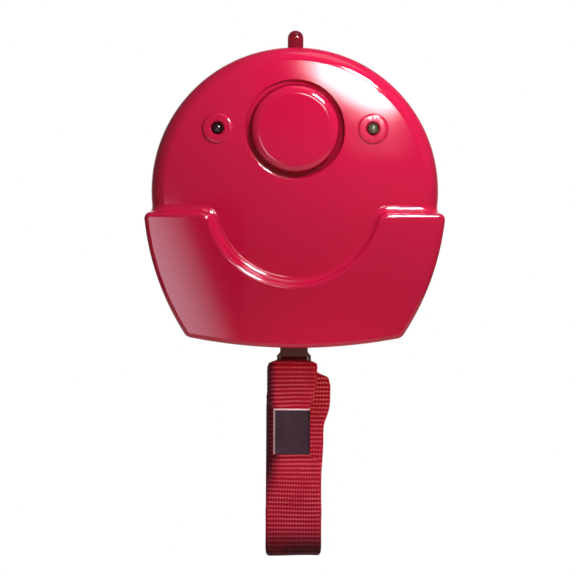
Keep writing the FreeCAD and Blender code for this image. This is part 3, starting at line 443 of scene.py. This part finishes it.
def spread_out(spots, moved, scale):
    """Moves the places marked away from the button's middle line."""
    spots[moved, 0] *= scale[moved]
    spots[moved, 2] = cap_middle + (spots[moved, 2] - cap_middle) * scale[moved]


def soften_shoulder(spots):
    """The rounded shoulder of the button reaches further in and out than a plain quarter round."""
    reach, shallow = cap_reach(spots)
    shoulder = (reach > shoulder_inner - 0.00001) & (reach < cap_radius + 0.00005) & shallow
    share = (soft_radius - soft_inner) / (cap_radius - shoulder_inner)
    spread_out(spots, shoulder, (soft_inner + (reach - shoulder_inner) * share) / np.maximum(reach, 1e-6))


def open_bore_and_lean_bosses(spots):
    """The bore clears the button's softer shoulder, and the lamp bosses lean with the crown they stand on."""
    reach, shallow = cap_reach(spots)
    bore = (np.abs(reach - cap_radius - bore_gap) < 0.00003) & shallow
    spread_out(spots, bore, (soft_radius + bore_gap) / np.maximum(reach, 1e-6))
    for x in (boss_x, -boss_x):
        crown = crown_middle - np.sqrt(crown_bend**2 - spots[:, 0]**2 - spots[:, 2]**2)
        near_boss = np.hypot(spots[:, 0] - x, spots[:, 2] - boss_z) < boss_radius
        raised = near_boss & (spots[:, 1] < crown - 0.00003)
        outwards = ((spots[:, 0] - x) * x + (spots[:, 2] - boss_z) * boss_z) / math.hypot(x, boss_z)
        spots[raised, 1] += outwards[raised] * boss_lean


case_red = moulded_plastic("case_red", dye(213, 22, 67), dye(205, 20, 61), gloss=0.06)
groove_radius = 0.0134
tree = case_red.node_tree
place = object_place(tree)
in_face = step(tree, "ShaderNodeCombineXYZ", {
    "X": place["X"], "Y": sum_up(tree, "SUBTRACT", place["Z"], cap_middle)}).outputs[0]
from_cap = step(tree, "ShaderNodeVectorMath", {0: in_face}, operation="LENGTH").outputs["Value"]
# Painted shade: the groove round the button is darkened in its colour, most of all low down.
groove_painted_shade = product(tree, ramp(tree, from_cap, soft_radius - 0.0004, soft_radius + 0.0003),
                    ramp(tree, from_cap, groove_radius + 0.0004, groove_radius + 0.0001),
                    ramp(tree, place["Y"], cap_low.y + 0.0004, cap_low.y + 0.0014),
                    ramp(tree, place["Y"], cap_low.y + 0.0036, cap_low.y + 0.0030),
                    ramp(tree, place["Z"], cap_high.z, cap_middle - 0.006, 0.12, 0.8))
skin_red = tree.nodes["Principled BSDF"].inputs["Base Color"]
tree.links.new(set_mix(tree, groove_painted_shade, skin_red.links[0].from_socket, dye(142, 8, 30)), skin_red)
finish_nodes(case_red, "front_shell", "rear_cover", "button_cap", "battery_door")
polished("polished_front", "front_shell", "case", case_red, open_bore_and_lean_bosses)
polished("polished_back", "rear_cover", "case", case_red)
polished("polished_button", "button_cap", "button", case_red, soften_shoulder)


# Lamps: the red one on top is a tinted clear bullet, the left eye is a smoke-dark infrared lamp and the
# right eye a greenish clear one. Each is cast in one piece of epoxy with a flange behind the shell.
def cast_lamp(name, colour, shadow, clear):
    """Tinted epoxy that lets this share of the light through."""
    material = moulded_plastic(name, colour, shadow, gloss=0.05, ripple_size=500.0, scuffs=0.05,
                               depth=0.000002)
    epoxy = material.node_tree.nodes["Principled BSDF"]
    epoxy.inputs["Transmission Weight"].default_value = clear
    epoxy.inputs["IOR"].default_value = 1.53
    return material


finish_nodes(cast_lamp("clear_red_epoxy", dye(172, 16, 46), dye(134, 9, 32), 0.55), "top_led")
finish_nodes(cast_lamp("smoke_epoxy", dye(52, 24, 32), dye(34, 14, 20), 0.15), "left_led")
finish_nodes(cast_lamp("green_epoxy", dye(120, 128, 84), dye(92, 88, 58), 0.35), "right_led")

# Plug: a black moulded piece with an eye for the strap, pushed into its socket in the foot of the case. Its
# skin is glossy and a little wavy, and its edges are rounded in the mould.
gloss_black = moulded_plastic("gloss_black", dye(112, 66, 70), dye(52, 28, 32), gloss=0.1, scuffs=0.5,
                              ripple_size=420.0, depth=0.00003)
finish_nodes(gloss_black, "pull_plug")
polished("polished_plug", "pull_plug", "plug", gloss_black, edge=0.0006)

# Belt clip, plug socket and press switch: moulded in a duller black, with a fine grain etched into the mould.
# The clip turns on a pin between two ears of the rear cover, and the other two sit behind the shell.
dull_black = moulded_plastic("dull_black", dye(38, 36, 38), dye(28, 26, 28), gloss=0.34, ripple_size=1500.0,
                             scuffs=0.4, depth=0.00002)
finish_nodes(dull_black, "belt_clip", "pull_socket", "press_switch")

# Pins and springs: bright drawn wire, with its grain along the draw. The spring under the button and the one
# in the clip are wound from it.
metal_grain, takes, gives = new_effect(
    "metal_grain", {"Grain Size": 900.0, "Stretch": 12.0, "Gloss": 0.25}, ("Height", "Roughness", "Shade"))
place = step(metal_grain, "ShaderNodeTexCoord").outputs["Object"]
squeeze = step(metal_grain, "ShaderNodeCombineXYZ", {
    "X": 1.0, "Y": 1.0, "Z": sum_up(metal_grain, "DIVIDE", 1.0, takes["Stretch"])}).outputs[0]
lines = step(metal_grain, "ShaderNodeVectorMath", {0: place, 1: squeeze}, operation="MULTIPLY").outputs[0]
grain = step(metal_grain, "ShaderNodeTexNoise", {
    "Vector": lines, "Scale": takes["Grain Size"], "Detail": 3.0}).outputs["Fac"]
stain = step(metal_grain, "ShaderNodeTexNoise", {
    "Vector": place, "Scale": 220.0, "Detail": 3.0}).outputs["Fac"]
drawn = sum_up(metal_grain, "MULTIPLY_ADD", grain, 0.16, takes["Gloss"])
metal_grain.links.new(drawn, gives["Roughness"])
metal_grain.links.new(grain, gives["Height"])
metal_grain.links.new(sum_up(metal_grain, "MULTIPLY_ADD", stain, 0.6, product(metal_grain, grain, 0.4)),
                      gives["Shade"])


def metal(name, colour, shadow, gloss=0.22, stretch=12.0):
    """A bare or plated metal, its grain drawn out along the height."""
    material, base = skinned(name, metal_grain, colour, shadow, 0.000004, stretch=stretch, gloss=gloss)
    base.inputs["Metallic"].default_value = 1.0
    return material


bright_wire = metal("bright_wire", dye(205, 203, 200), dye(160, 157, 154), gloss=0.16)
finish_nodes(bright_wire, "clip_pin", "plug_pin", "clip_spring", "button_spring")
cap_spring_low, cap_spring_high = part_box("button_spring")
cap_spring_seat = 0.0006
polished("coiled_button_spring", "button_spring",
         ("case", "button", (0, cap_spring_high.y - cap_spring_seat, cap_middle),
          (0, cap_spring_low.y + cap_spring_seat, cap_middle)), bright_wire)
clip_spring_low, clip_spring_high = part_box("clip_spring")
clip_spring_leg = 0.0007
polished("coiled_clip_spring", "clip_spring",
         ("case", "clip", (clip_spring_low.x + clip_spring_leg, 0, 0),
          (clip_spring_high.x - clip_spring_leg, 0, 0)), bright_wire)

# Screws: five zinc plated cross-head screws, driven from the back. Each is a turned pan head on a plain shank
# with the cross punched into it, and each stopped at its own angle. The board's small screws and the
# battery contacts have the same plating.
zinc_plate = metal("zinc_plate", dye(196, 198, 202), dye(150, 152, 160), gloss=0.2, stretch=1.0)
finish_nodes(zinc_plate, "case_screws", "board_screws", "door_screw", "left_contact", "right_contact")
driven = bpy.data.node_groups.new("driven_screws", "GeometryNodeTree")
driven.interface.new_socket(name="Places", in_out="INPUT", socket_type="NodeSocketGeometry")
screw_sizes = {"Head Radius": 0.0025, "Head Height": 0.0018, "Shank Radius": 0.00125, "Length": 0.012}
for label, length in screw_sizes.items():
    socket = driven.interface.new_socket(name=label, in_out="INPUT", socket_type="NodeSocketFloat")
    socket.default_value = length
driven.interface.new_socket(name="Seed", in_out="INPUT", socket_type="NodeSocketInt").default_value = 7
driven.interface.new_socket(name="Finish", in_out="INPUT", socket_type="NodeSocketMaterial")
driven.interface.new_socket(name="Screws", in_out="OUTPUT", socket_type="NodeSocketGeometry")
takes = driven.nodes.new("NodeGroupInput").outputs
head_radius = takes["Head Radius"]
head_height = takes["Head Height"]


def shifted(mesh, drop):
    """A turned piece moved down along the screw."""
    down = step(driven, "ShaderNodeCombineXYZ", {"Z": drop}).outputs[0]
    return step(driven, "GeometryNodeTransform", {"Geometry": mesh, "Translation": down}).outputs["Geometry"]


def turned(sides, radius, length):
    """A plain round bar."""
    return step(driven, "GeometryNodeMeshCylinder", {
        "Vertices": sides, "Radius": radius, "Depth": length}).outputs["Mesh"]


def worked(how, mesh, tool):
    """A mesh joined with another, or kept only inside it."""
    made = step(driven, "GeometryNodeMeshBoolean", {"Mesh": mesh}, operation=how, solver="EXACT")
    driven.links.new(tool, made.inputs["Mesh"])
    return made.outputs["Mesh"]


head_blank = shifted(turned(48, head_radius, head_height), product(driven, head_height, -0.5))
dome_radius = product(driven, head_radius, 2.2)
ball = step(driven, "GeometryNodeMeshUVSphere", {"Segments": 64, "Rings": 64, "Radius": dome_radius})
dome = shifted(ball.outputs["Mesh"], product(driven, dome_radius, -1.0))
shank_drop = sum_up(driven, "MULTIPLY_ADD", takes["Length"], -0.5, product(driven, head_height, -0.5))
shank = shifted(turned(32, takes["Shank Radius"], takes["Length"]), shank_drop)
punched = worked("UNION", worked("INTERSECT", head_blank, dome), shank)
for wide, narrow in ((1.2, 0.3), (0.3, 1.2)):
    punch_size = step(driven, "ShaderNodeCombineXYZ", {
        "X": product(driven, head_radius, wide), "Y": product(driven, head_radius, narrow),
        "Z": product(driven, head_height, 1.2)}).outputs[0]
    punch = step(driven, "GeometryNodeMeshCube", {"Size": punch_size})
    cut = step(driven, "GeometryNodeMeshBoolean", {"Mesh 1": punched, "Mesh 2": punch.outputs["Mesh"]},
               operation="DIFFERENCE", solver="EXACT")
    punched = cut.outputs["Mesh"]
stop_angle = step(driven, "FunctionNodeRandomValue", {"Max": math.tau, "Seed": takes["Seed"]},
                  data_type="FLOAT")
pointing = step(driven, "ShaderNodeCombineXYZ", {"X": math.radians(-90), "Y": stop_angle.outputs["Value"]})
set_in = step(driven, "GeometryNodeInstanceOnPoints", {
    "Points": takes["Places"], "Instance": punched, "Rotation": pointing.outputs[0]})
real = step(driven, "GeometryNodeRealizeInstances", {"Geometry": set_in.outputs["Instances"]})
coated = step(driven, "GeometryNodeSetMaterial", {
    "Geometry": real.outputs["Geometry"], "Material": takes["Finish"]})
driven.links.new(coated.outputs["Geometry"], driven.nodes.new("NodeGroupOutput").inputs["Screws"])


def drive_screws(name, node, places, **sizes):
    """Screws set in at these head tops, run into one plain mesh."""
    points = bpy.data.meshes.new(name)
    points.from_pydata(places, [], [])
    screws = bpy.data.objects.new(name, points)
    scene.collection.objects.link(screws)
    driver = screws.modifiers.new("driver", "NODES")
    driver.node_group = driven
    sizes["finish"] = zinc_plate
    for item in driven.interface.items_tree:
        label = item.name.replace(" ", "_").lower()
        if item.in_out == "INPUT" and label in sizes:
            driver[item.identifier] = sizes[label]
    made = bpy.data.meshes.new_from_object(screws.evaluated_get(bpy.context.evaluated_depsgraph_get()))
    screws.modifiers.clear()
    screws.data = made
    made.polygons.foreach_set("use_smooth", [True] * len(made.polygons))
    made.set_sharp_from_angle(angle=math.radians(30))
    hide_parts(node)
    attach(screws, "case")


case_screw_low, case_screw_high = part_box("case_screws")
ends = np.array([corner.co[:] for corner in nodes["case_screws"].data.vertices])
case_places = []
for side in (-1, 1):
    for level in (-1, 1):
        one = ends[(ends[:, 0] * side > 0) & (ends[:, 2] * level > 0)]
        centre = (one.min(axis=0) + one.max(axis=0)) / 2
        case_places.append((centre[0], case_screw_high.y, centre[2]))
drive_screws("driven_case_screws", "case_screws", case_places, head_radius=0.0025,
             length=case_screw_high.y - case_screw_low.y - screw_sizes["Head Height"] / 2)
door_low, door_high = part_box("door_screw")
door_head = 0.0008
drive_screws("driven_door_screw", "door_screw", [(0, door_high.y, (door_low.z + door_high.z) / 2)],
             head_radius=(door_high.x - door_low.x) / 2, head_height=door_head, shank_radius=0.0009,
             length=door_high.y - door_low.y - door_head / 2)

# Crimp: a sheet steel band, blackened and squeezed round the neck of the strap. Its cut edges are rounded
# over, and a highlight is painted on the top and left ones.
blackened = metal("blackened_steel", dye(108, 76, 86), dye(56, 38, 45), gloss=0.24, stretch=20.0)
crimp_low, crimp_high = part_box("strap_crimp")
highlight_start = 0.00045
highlight_full = 0.00032
tree = blackened.node_tree
place = object_place(tree)
# Painted highlight: the top and left edges turn a pale pink and lose most of their metal look.
painted_edge_highlight = sum_up(tree, "MAXIMUM", ramp(tree, place["X"], crimp_low.x + highlight_start, crimp_low.x + highlight_full),
              ramp(tree, place["Z"], crimp_high.z - highlight_start, crimp_high.z - highlight_full))
steel = tree.nodes["Principled BSDF"].inputs
tree.links.new(set_mix(tree, painted_edge_highlight, steel["Base Color"].links[0].from_socket, dye(252, 214, 226)),
               steel["Base Color"])
tree.links.new(sum_up(tree, "MULTIPLY_ADD", painted_edge_highlight, -0.85, 1.0), steel["Metallic"])
finish_nodes(blackened, "strap_crimp")
polished("polished_crimp", "strap_crimp", "strap", blackened, edge=0.0004)

# Inside: a green circuit board, screwed down behind the face, with a radio module in a tinned can, a chip and
# a copper strip aerial soldered to it. Two AAA cells in plain jackets lie behind it between sprung contacts,
# and the press switch has a white plunger.
finish_nodes(moulded_plastic("board_lacquer", dye(38, 104, 62), dye(26, 78, 48), gloss=0.25), "circuit_board")
finish_nodes(moulded_plastic("chip_epoxy", dye(34, 34, 36), dye(24, 24, 26), gloss=0.4, ripple_size=2500.0),
             "control_chip")
finish_nodes(metal("tinned_can", dye(188, 190, 190), dye(150, 150, 150), gloss=0.26), "transmitter_module")
finish_nodes(metal("copper_strip", dye(196, 120, 80), dye(150, 84, 52), gloss=0.24), "antenna")
finish_nodes(moulded_plastic("cell_jacket", dye(52, 60, 78), dye(38, 44, 58), gloss=0.18),
             "upper_cell", "lower_cell")
finish_nodes(moulded_plastic("white_acetal", dye(222, 220, 212), dye(206, 203, 194), gloss=0.3),
             "switch_plunger")

# Strap: one strip of 15 mm ribbed webbing. It starts in the crimp, loops through the eye of the plug, comes
# back down through the crimp, and folds up behind itself as the hand loop, packed flat as it is sold.
strap_low, strap_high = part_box("hand_strap")
plug_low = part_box("pull_plug")[0]
ply = 0.0011
rib_pitch = 0.00115
webbing_width = 0.015
plane = (crimp_low.y + crimp_high.y) / 2
bar = plug_low.z + 0.0012
front = plane - 0.0006
back = plane + 0.0006
tail_inner = strap_high.y - 0.0018
tail_outer = strap_high.y - 0.0006
neck_left = crimp_low.x + 0.0008
neck_right = crimp_high.x - 0.0008
left = strap_low.x + 0.0005
right = left + webbing_width
foot = strap_low.z + ply / 2
fold = (front + tail_outer) / 2

# The tail behind, from the foot up, as it lies on its inner ply: how far each place is pulled out of the
# ply's plane, its height, its left and right edges, and how far the left edge curls back.
tail = [
    (0.0, foot + 0.0120, left, right, 0.0),
    (0.0, crimp_low.z - 0.0120, left, right, 0.0),
    (0.0, crimp_low.z - 0.0060, left, right, 0.0012),
    (0.0, crimp_low.z - 0.0010, left, right + 0.0003, 0.0032),
    (0.0, crimp_high.z - 0.0090, left, right + 0.0005, 0.0036),
    (0.0, crimp_high.z - 0.0062, left, right + 0.0005, 0.0036),
    (0.0, crimp_high.z - 0.0042, left, right + 0.0007, 0.0036),
    (0.0, crimp_high.z - 0.0022, left, right + 0.0014, 0.0036),
    (0.0, crimp_high.z - 0.0002, left, right + 0.0020, 0.0036),
    (0.0, crimp_high.z + 0.0040, left + 0.0002, right + 0.0023, 0.0036),
    (-0.0002, crimp_high.z + 0.0072, left + 0.0006, right + 0.0021, 0.0026),
    (0.0001, crimp_high.z + 0.0087, left + 0.0008, right + 0.0013, 0.0014),
]

# Each station of the strip: depth, height, left edge, right edge, how far the left edge curls back
stations = [
    (front, crimp_low.z + 0.0064, neck_left, neck_right, 0.0),
    (front, crimp_high.z - 0.0004, neck_left, neck_right, 0.0),
    (front - 0.0005, crimp_high.z + 0.0018, left + 0.0004, right - 0.0026, 0.0022),
    (front - 0.0012, crimp_high.z + 0.0050, left + 0.0002, right - 0.0020, 0.0029),
    (front - 0.0019, bar - 0.0016, left + 0.0002, right - 0.0014, 0.0030),
    (front - 0.0021, bar + 0.0002, left + 0.0002, right - 0.0013, 0.0030),
    (front - 0.0018, bar + 0.0014, left + 0.0004, right - 0.0013, 0.0026),
    (front - 0.0012, bar + 0.0021, left + 0.0010, right - 0.0017, 0.0014),
    (front - 0.0005, bar + 0.0029, left + 0.0037, right - 0.0040, 0.0),
    (plane, bar + 0.0040, -0.00374, 0.00374, 0.0),
    (plane + 0.0012, bar + 0.0036, -0.0037, 0.0037, 0.0),
    (plane + 0.0024, bar + 0.0006, left + 0.0030, right - 0.0040, 0.0),
    (plane + 0.0025, bar - 0.0020, left + 0.0014, right - 0.0028, 0.0),
    (back + 0.0009, crimp_high.z + 0.0045, left + 0.0012, right - 0.0024, 0.0),
    (back, crimp_high.z + 0.0004, neck_left, neck_right, 0.0),
    (back, crimp_low.z + 0.0060, neck_left, neck_right, 0.0),
    (back, crimp_low.z - 0.0004, neck_left, neck_right, 0.0),
    (back, crimp_low.z - 0.0080, left + 0.0006, right - 0.0006, 0.0),
    (back, foot + 0.0090, left, right, 0.0),
    (back + 0.0001, foot + 0.0052, left, right, 0.0),
    (fold - 0.0012, foot + 0.0021, left, right, 0.0),
    (fold, foot + 0.0013, left, right, 0.0),
    (fold + 0.0012, foot + 0.0021, left, right, 0.0),
    (tail_inner - 0.0001, foot + 0.0052, left, right, 0.0),
    *[(tail_inner + pull, *edges) for pull, *edges in tail],
    ((tail_inner + tail_outer) / 2, crimp_high.z + 0.0094, left + 0.0012, right - 0.0006, 0.0010),
    *[(tail_outer - pull, *edges) for pull, *edges in tail[::-1]],
    (tail_outer - 0.0001, foot + 0.0056, left, right, 0.0),
    (fold + 0.0020, foot + 0.0018, left, right, 0.0),
    (fold + 0.0012, foot + 0.0006, left + 0.0001, right - 0.0001, 0.0),
    (fold, foot, left + 0.0003, right - 0.0003, 0.0),
    (fold - 0.0012, foot + 0.0006, left + 0.0001, right - 0.0001, 0.0),
    (fold - 0.0020, foot + 0.0018, left, right, 0.0),
    (fold - 0.0026, foot + 0.0036, left, right, 0.0),
    (front, foot + 0.0075, left, right, 0.0),
    (front - 0.0001, foot + 0.0130, left, right, 0.0),
    (front - 0.0003, crimp_low.z - 0.0130, left + 0.0001, right - 0.0001, 0.0003),
    (front - 0.0004, crimp_low.z - 0.0090, left + 0.0004, right - 0.0001, 0.0016),
    (front - 0.0003, crimp_low.z - 0.0050, left + 0.0009, right - 0.0002, 0.0022),
    (front - 0.0002, crimp_low.z - 0.0022, left + 0.0014, right - 0.0006, 0.0014),
    (front - 0.0001, crimp_low.z - 0.0008, neck_left + 0.0001, neck_right + 0.0012, 0.0006),
    (front, crimp_low.z + 0.0006, neck_left, neck_right, 0.0),
    (front, crimp_low.z + 0.0056, neck_left, neck_right, 0.0),
]


def run_through(points, spacing):
    """A smooth run through the stations, with a row every so often along it."""
    points = np.array(points)
    chords = np.maximum(np.linalg.norm(np.diff(points[:, :2], axis=0), axis=1), 1e-6)
    at = np.concatenate([[0], np.cumsum(chords)])
    slopes = np.gradient(points, at, axis=0)
    fine = np.linspace(0, at[-1], 6000)
    i = np.clip(np.searchsorted(at, fine, side="right") - 1, 0, len(at) - 2)
    width = (at[i + 1] - at[i])[:, None]
    u = ((fine - at[i]) / (at[i + 1] - at[i]))[:, None]
    run = ((2 * u**3 - 3 * u**2 + 1) * points[i] + (u**3 - 2 * u**2 + u) * width * slopes[i]
           + (3 * u**2 - 2 * u**3) * points[i + 1] + (u**3 - u**2) * width * slopes[i + 1])
    lengths = np.concatenate([[0], np.cumsum(np.linalg.norm(np.diff(run[:, :2], axis=0), axis=1))])
    rows = np.arange(0, lengths[-1], spacing)
    return rows, np.column_stack([np.interp(rows, lengths, run[:, c]) for c in range(run.shape[1])])


rows_per_rib = 6
columns = 27
rib_height = 0.00006
edge_start = 0.93
edge_share = 0.07
curl_start = 0.62
curl_share = 0.38
mm = 1000
along, run = run_through(stations, rib_pitch / rows_per_rib)
heading = np.gradient(run[:, :2], axis=0)
heading /= np.linalg.norm(heading, axis=1)[:, None]
outward = np.column_stack([-heading[:, 1], heading[:, 0]])
across = np.linspace(-1, 1, columns)
rounded = np.sqrt(np.clip(1 - np.clip((np.abs(across) - edge_start) / edge_share, 0, 1) ** 2, 0, 1))
rib = 0.5 + 0.5 * np.cos(math.tau * along / rib_pitch)
half = (ply / 2 - rib_height) * (0.25 + 0.75 * rounded)[None, :]
half = half + rib_height * rib[:, None] * rounded[None, :]
breadth = run[:, 2][:, None] + (run[:, 3] - run[:, 2])[:, None] * (across[None, :] + 1) / 2
breadth += 0.00007 * rib[:, None] * across[None, :] ** 15
curl = run[:, 4][:, None] * np.clip((-across[None, :] - curl_start) / curl_share, 0, 1) ** 1.6
wander = 0.00012 * np.sin(along * 420)[:, None] * np.sin(across * 3.1 + 0.6)[None, :]
depth = run[:, 0][:, None] + curl + wander
pulled = 0.00013 * np.sin(along * 190)[:, None] * np.sin(across * 2.3 + 0.4)[None, :]
height = run[:, 1][:, None] + pulled
sides = []
for side in (1, -1):
    sides.append(np.stack([
        breadth,
        depth + side * half * outward[:, 0][:, None],
        height + side * half * outward[:, 1][:, None],
    ], axis=2))
ring = np.concatenate([sides[0], sides[1][:, ::-1]], axis=1)
rows, around = ring.shape[:2]
index = np.arange(rows * around).reshape(rows, around)
next_round = np.roll(index, -1, axis=1)
faces = np.stack([index[:-1], next_round[:-1], next_round[1:], index[1:]], axis=2).reshape(-1, 4).tolist()
faces += [index[0, ::-1].tolist(), index[-1].tolist()]
strap_mesh = bpy.data.meshes.new("webbing_strap")
strap_mesh.from_pydata(ring.reshape(-1, 3).tolist(), [], faces)
strap_mesh.polygons.foreach_set("use_smooth", [True] * len(strap_mesh.polygons))
u_mm = np.concatenate([across, across[::-1]]) * webbing_width * mm / 2
v_mm = along[:, None] * mm
uv = np.stack([np.broadcast_to(u_mm, (rows, around)), np.broadcast_to(v_mm, (rows, around))], axis=2)
uv_layer = strap_mesh.uv_layers.new(name="UVMap")
loops = np.empty(len(strap_mesh.loops), dtype=np.int32)
strap_mesh.loops.foreach_get("vertex_index", loops)
uv_layer.data.foreach_set("uv", uv.reshape(-1, 2)[loops].astype(np.float32).ravel())
strap = bpy.data.objects.new("webbing_strap", strap_mesh)
scene.collection.objects.link(strap)
strap_mesh.update()

# The weave, in millimetres across and along the strip: ribs that run across it, darker in their valleys as
# painted shade, with a painted highlight on the crest of each. Shade is also painted at the foot, in the
# plug's eye and on its curled left edge.
webbing, tree, cloth = new_material("red_webbing")
thread_pitch = 0.74
weave = step(tree, "ShaderNodeSeparateXYZ", {0: step(tree, "ShaderNodeUVMap", uv_map="UVMap").outputs[0]})


def wave(value, pitch):
    """Rises from 0 to 1 and falls again over each pitch."""
    turn = sum_up(tree, "COSINE", sum_up(tree, "MULTIPLY", value, math.tau / pitch))
    return sum_up(tree, "MULTIPLY_ADD", turn, 0.5, 0.5)


ribs = wave(weave.outputs["Y"], rib_pitch * mm)
threads = wave(weave.outputs["X"], thread_pitch)
place = step(tree, "ShaderNodeTexCoord").outputs["Object"]
fuzz = step(tree, "ShaderNodeTexNoise", {"Vector": place, "Scale": 1400.0, "Detail": 3.0}).outputs["Fac"]
patch = step(tree, "ShaderNodeTexNoise", {"Vector": place, "Scale": 160.0, "Detail": 2.0}).outputs["Fac"]
crest = sum_up(tree, "POWER", ribs, 5.0)
dots = sum_up(tree, "MULTIPLY_ADD", sum_up(tree, "POWER", threads, 1.4), 1.0, 0.12)
# Painted highlight: a pale pink on the crest of each rib, in dots along the threads.
crest_highlight = product(tree, crest, dots, ramp(tree, patch, 0.25, 0.75, 0.45, 1.25))
# Painted shade: the valleys between the ribs are a darker red than the crests.
rib_shaded_colour = set_mix(tree, ribs, dye(164, 12, 42), dye(190, 22, 60))
lit_colour = set_mix(tree, crest_highlight, rib_shaded_colour, dye(244, 120, 146))
place = object_place(tree)
# Painted shade: darker towards the foot, along the left edge from just below the crimp upwards, and where the
# strip runs through the plug's eye.
foot_painted_shade = product(tree, ramp(tree, place["Z"], foot + 0.0085, foot + 0.0005, 0.0, 0.95),
                    ramp(tree, patch, 0.2, 0.6, 0.8, 1.0))
edge_painted_shade = product(tree, ramp(tree, place["X"], left + 0.0022, left + 0.0006, 0.0, 0.8),
                    ramp(tree, place["Z"], crimp_low.z - 0.010, crimp_low.z - 0.002))
eye_painted_shade = ramp(tree, place["Z"], bar + 0.0022, bar + 0.0030, 0.0, 0.9)
painted_shade = sum_up(tree, "MAXIMUM", sum_up(tree, "MAXIMUM", foot_painted_shade, edge_painted_shade), eye_painted_shade)
tree.links.new(set_mix(tree, painted_shade, lit_colour, dye(48, 10, 20)), cloth.inputs["Base Color"])
tree.links.new(sum_up(tree, "MULTIPLY_ADD", fuzz, 0.3, 0.5), cloth.inputs["Roughness"])
relief = sum_up(tree, "MULTIPLY_ADD", threads, sum_up(tree, "MULTIPLY_ADD", ribs, 0.8, 0.2),
                product(tree, fuzz, 0.35))
bump = step(tree, "ShaderNodeBump", {"Strength": 1.0, "Distance": 0.00009, "Height": relief})
tree.links.new(bump.outputs[0], cloth.inputs["Normal"])
cloth.inputs["Sheen Weight"].default_value = 0.03
cloth.inputs["Specular IOR Level"].default_value = 0.12
cloth.inputs["Sheen Roughness"].default_value = 0.4
strap_mesh.materials.append(webbing)
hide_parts("hand_strap")
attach(strap, "strap")
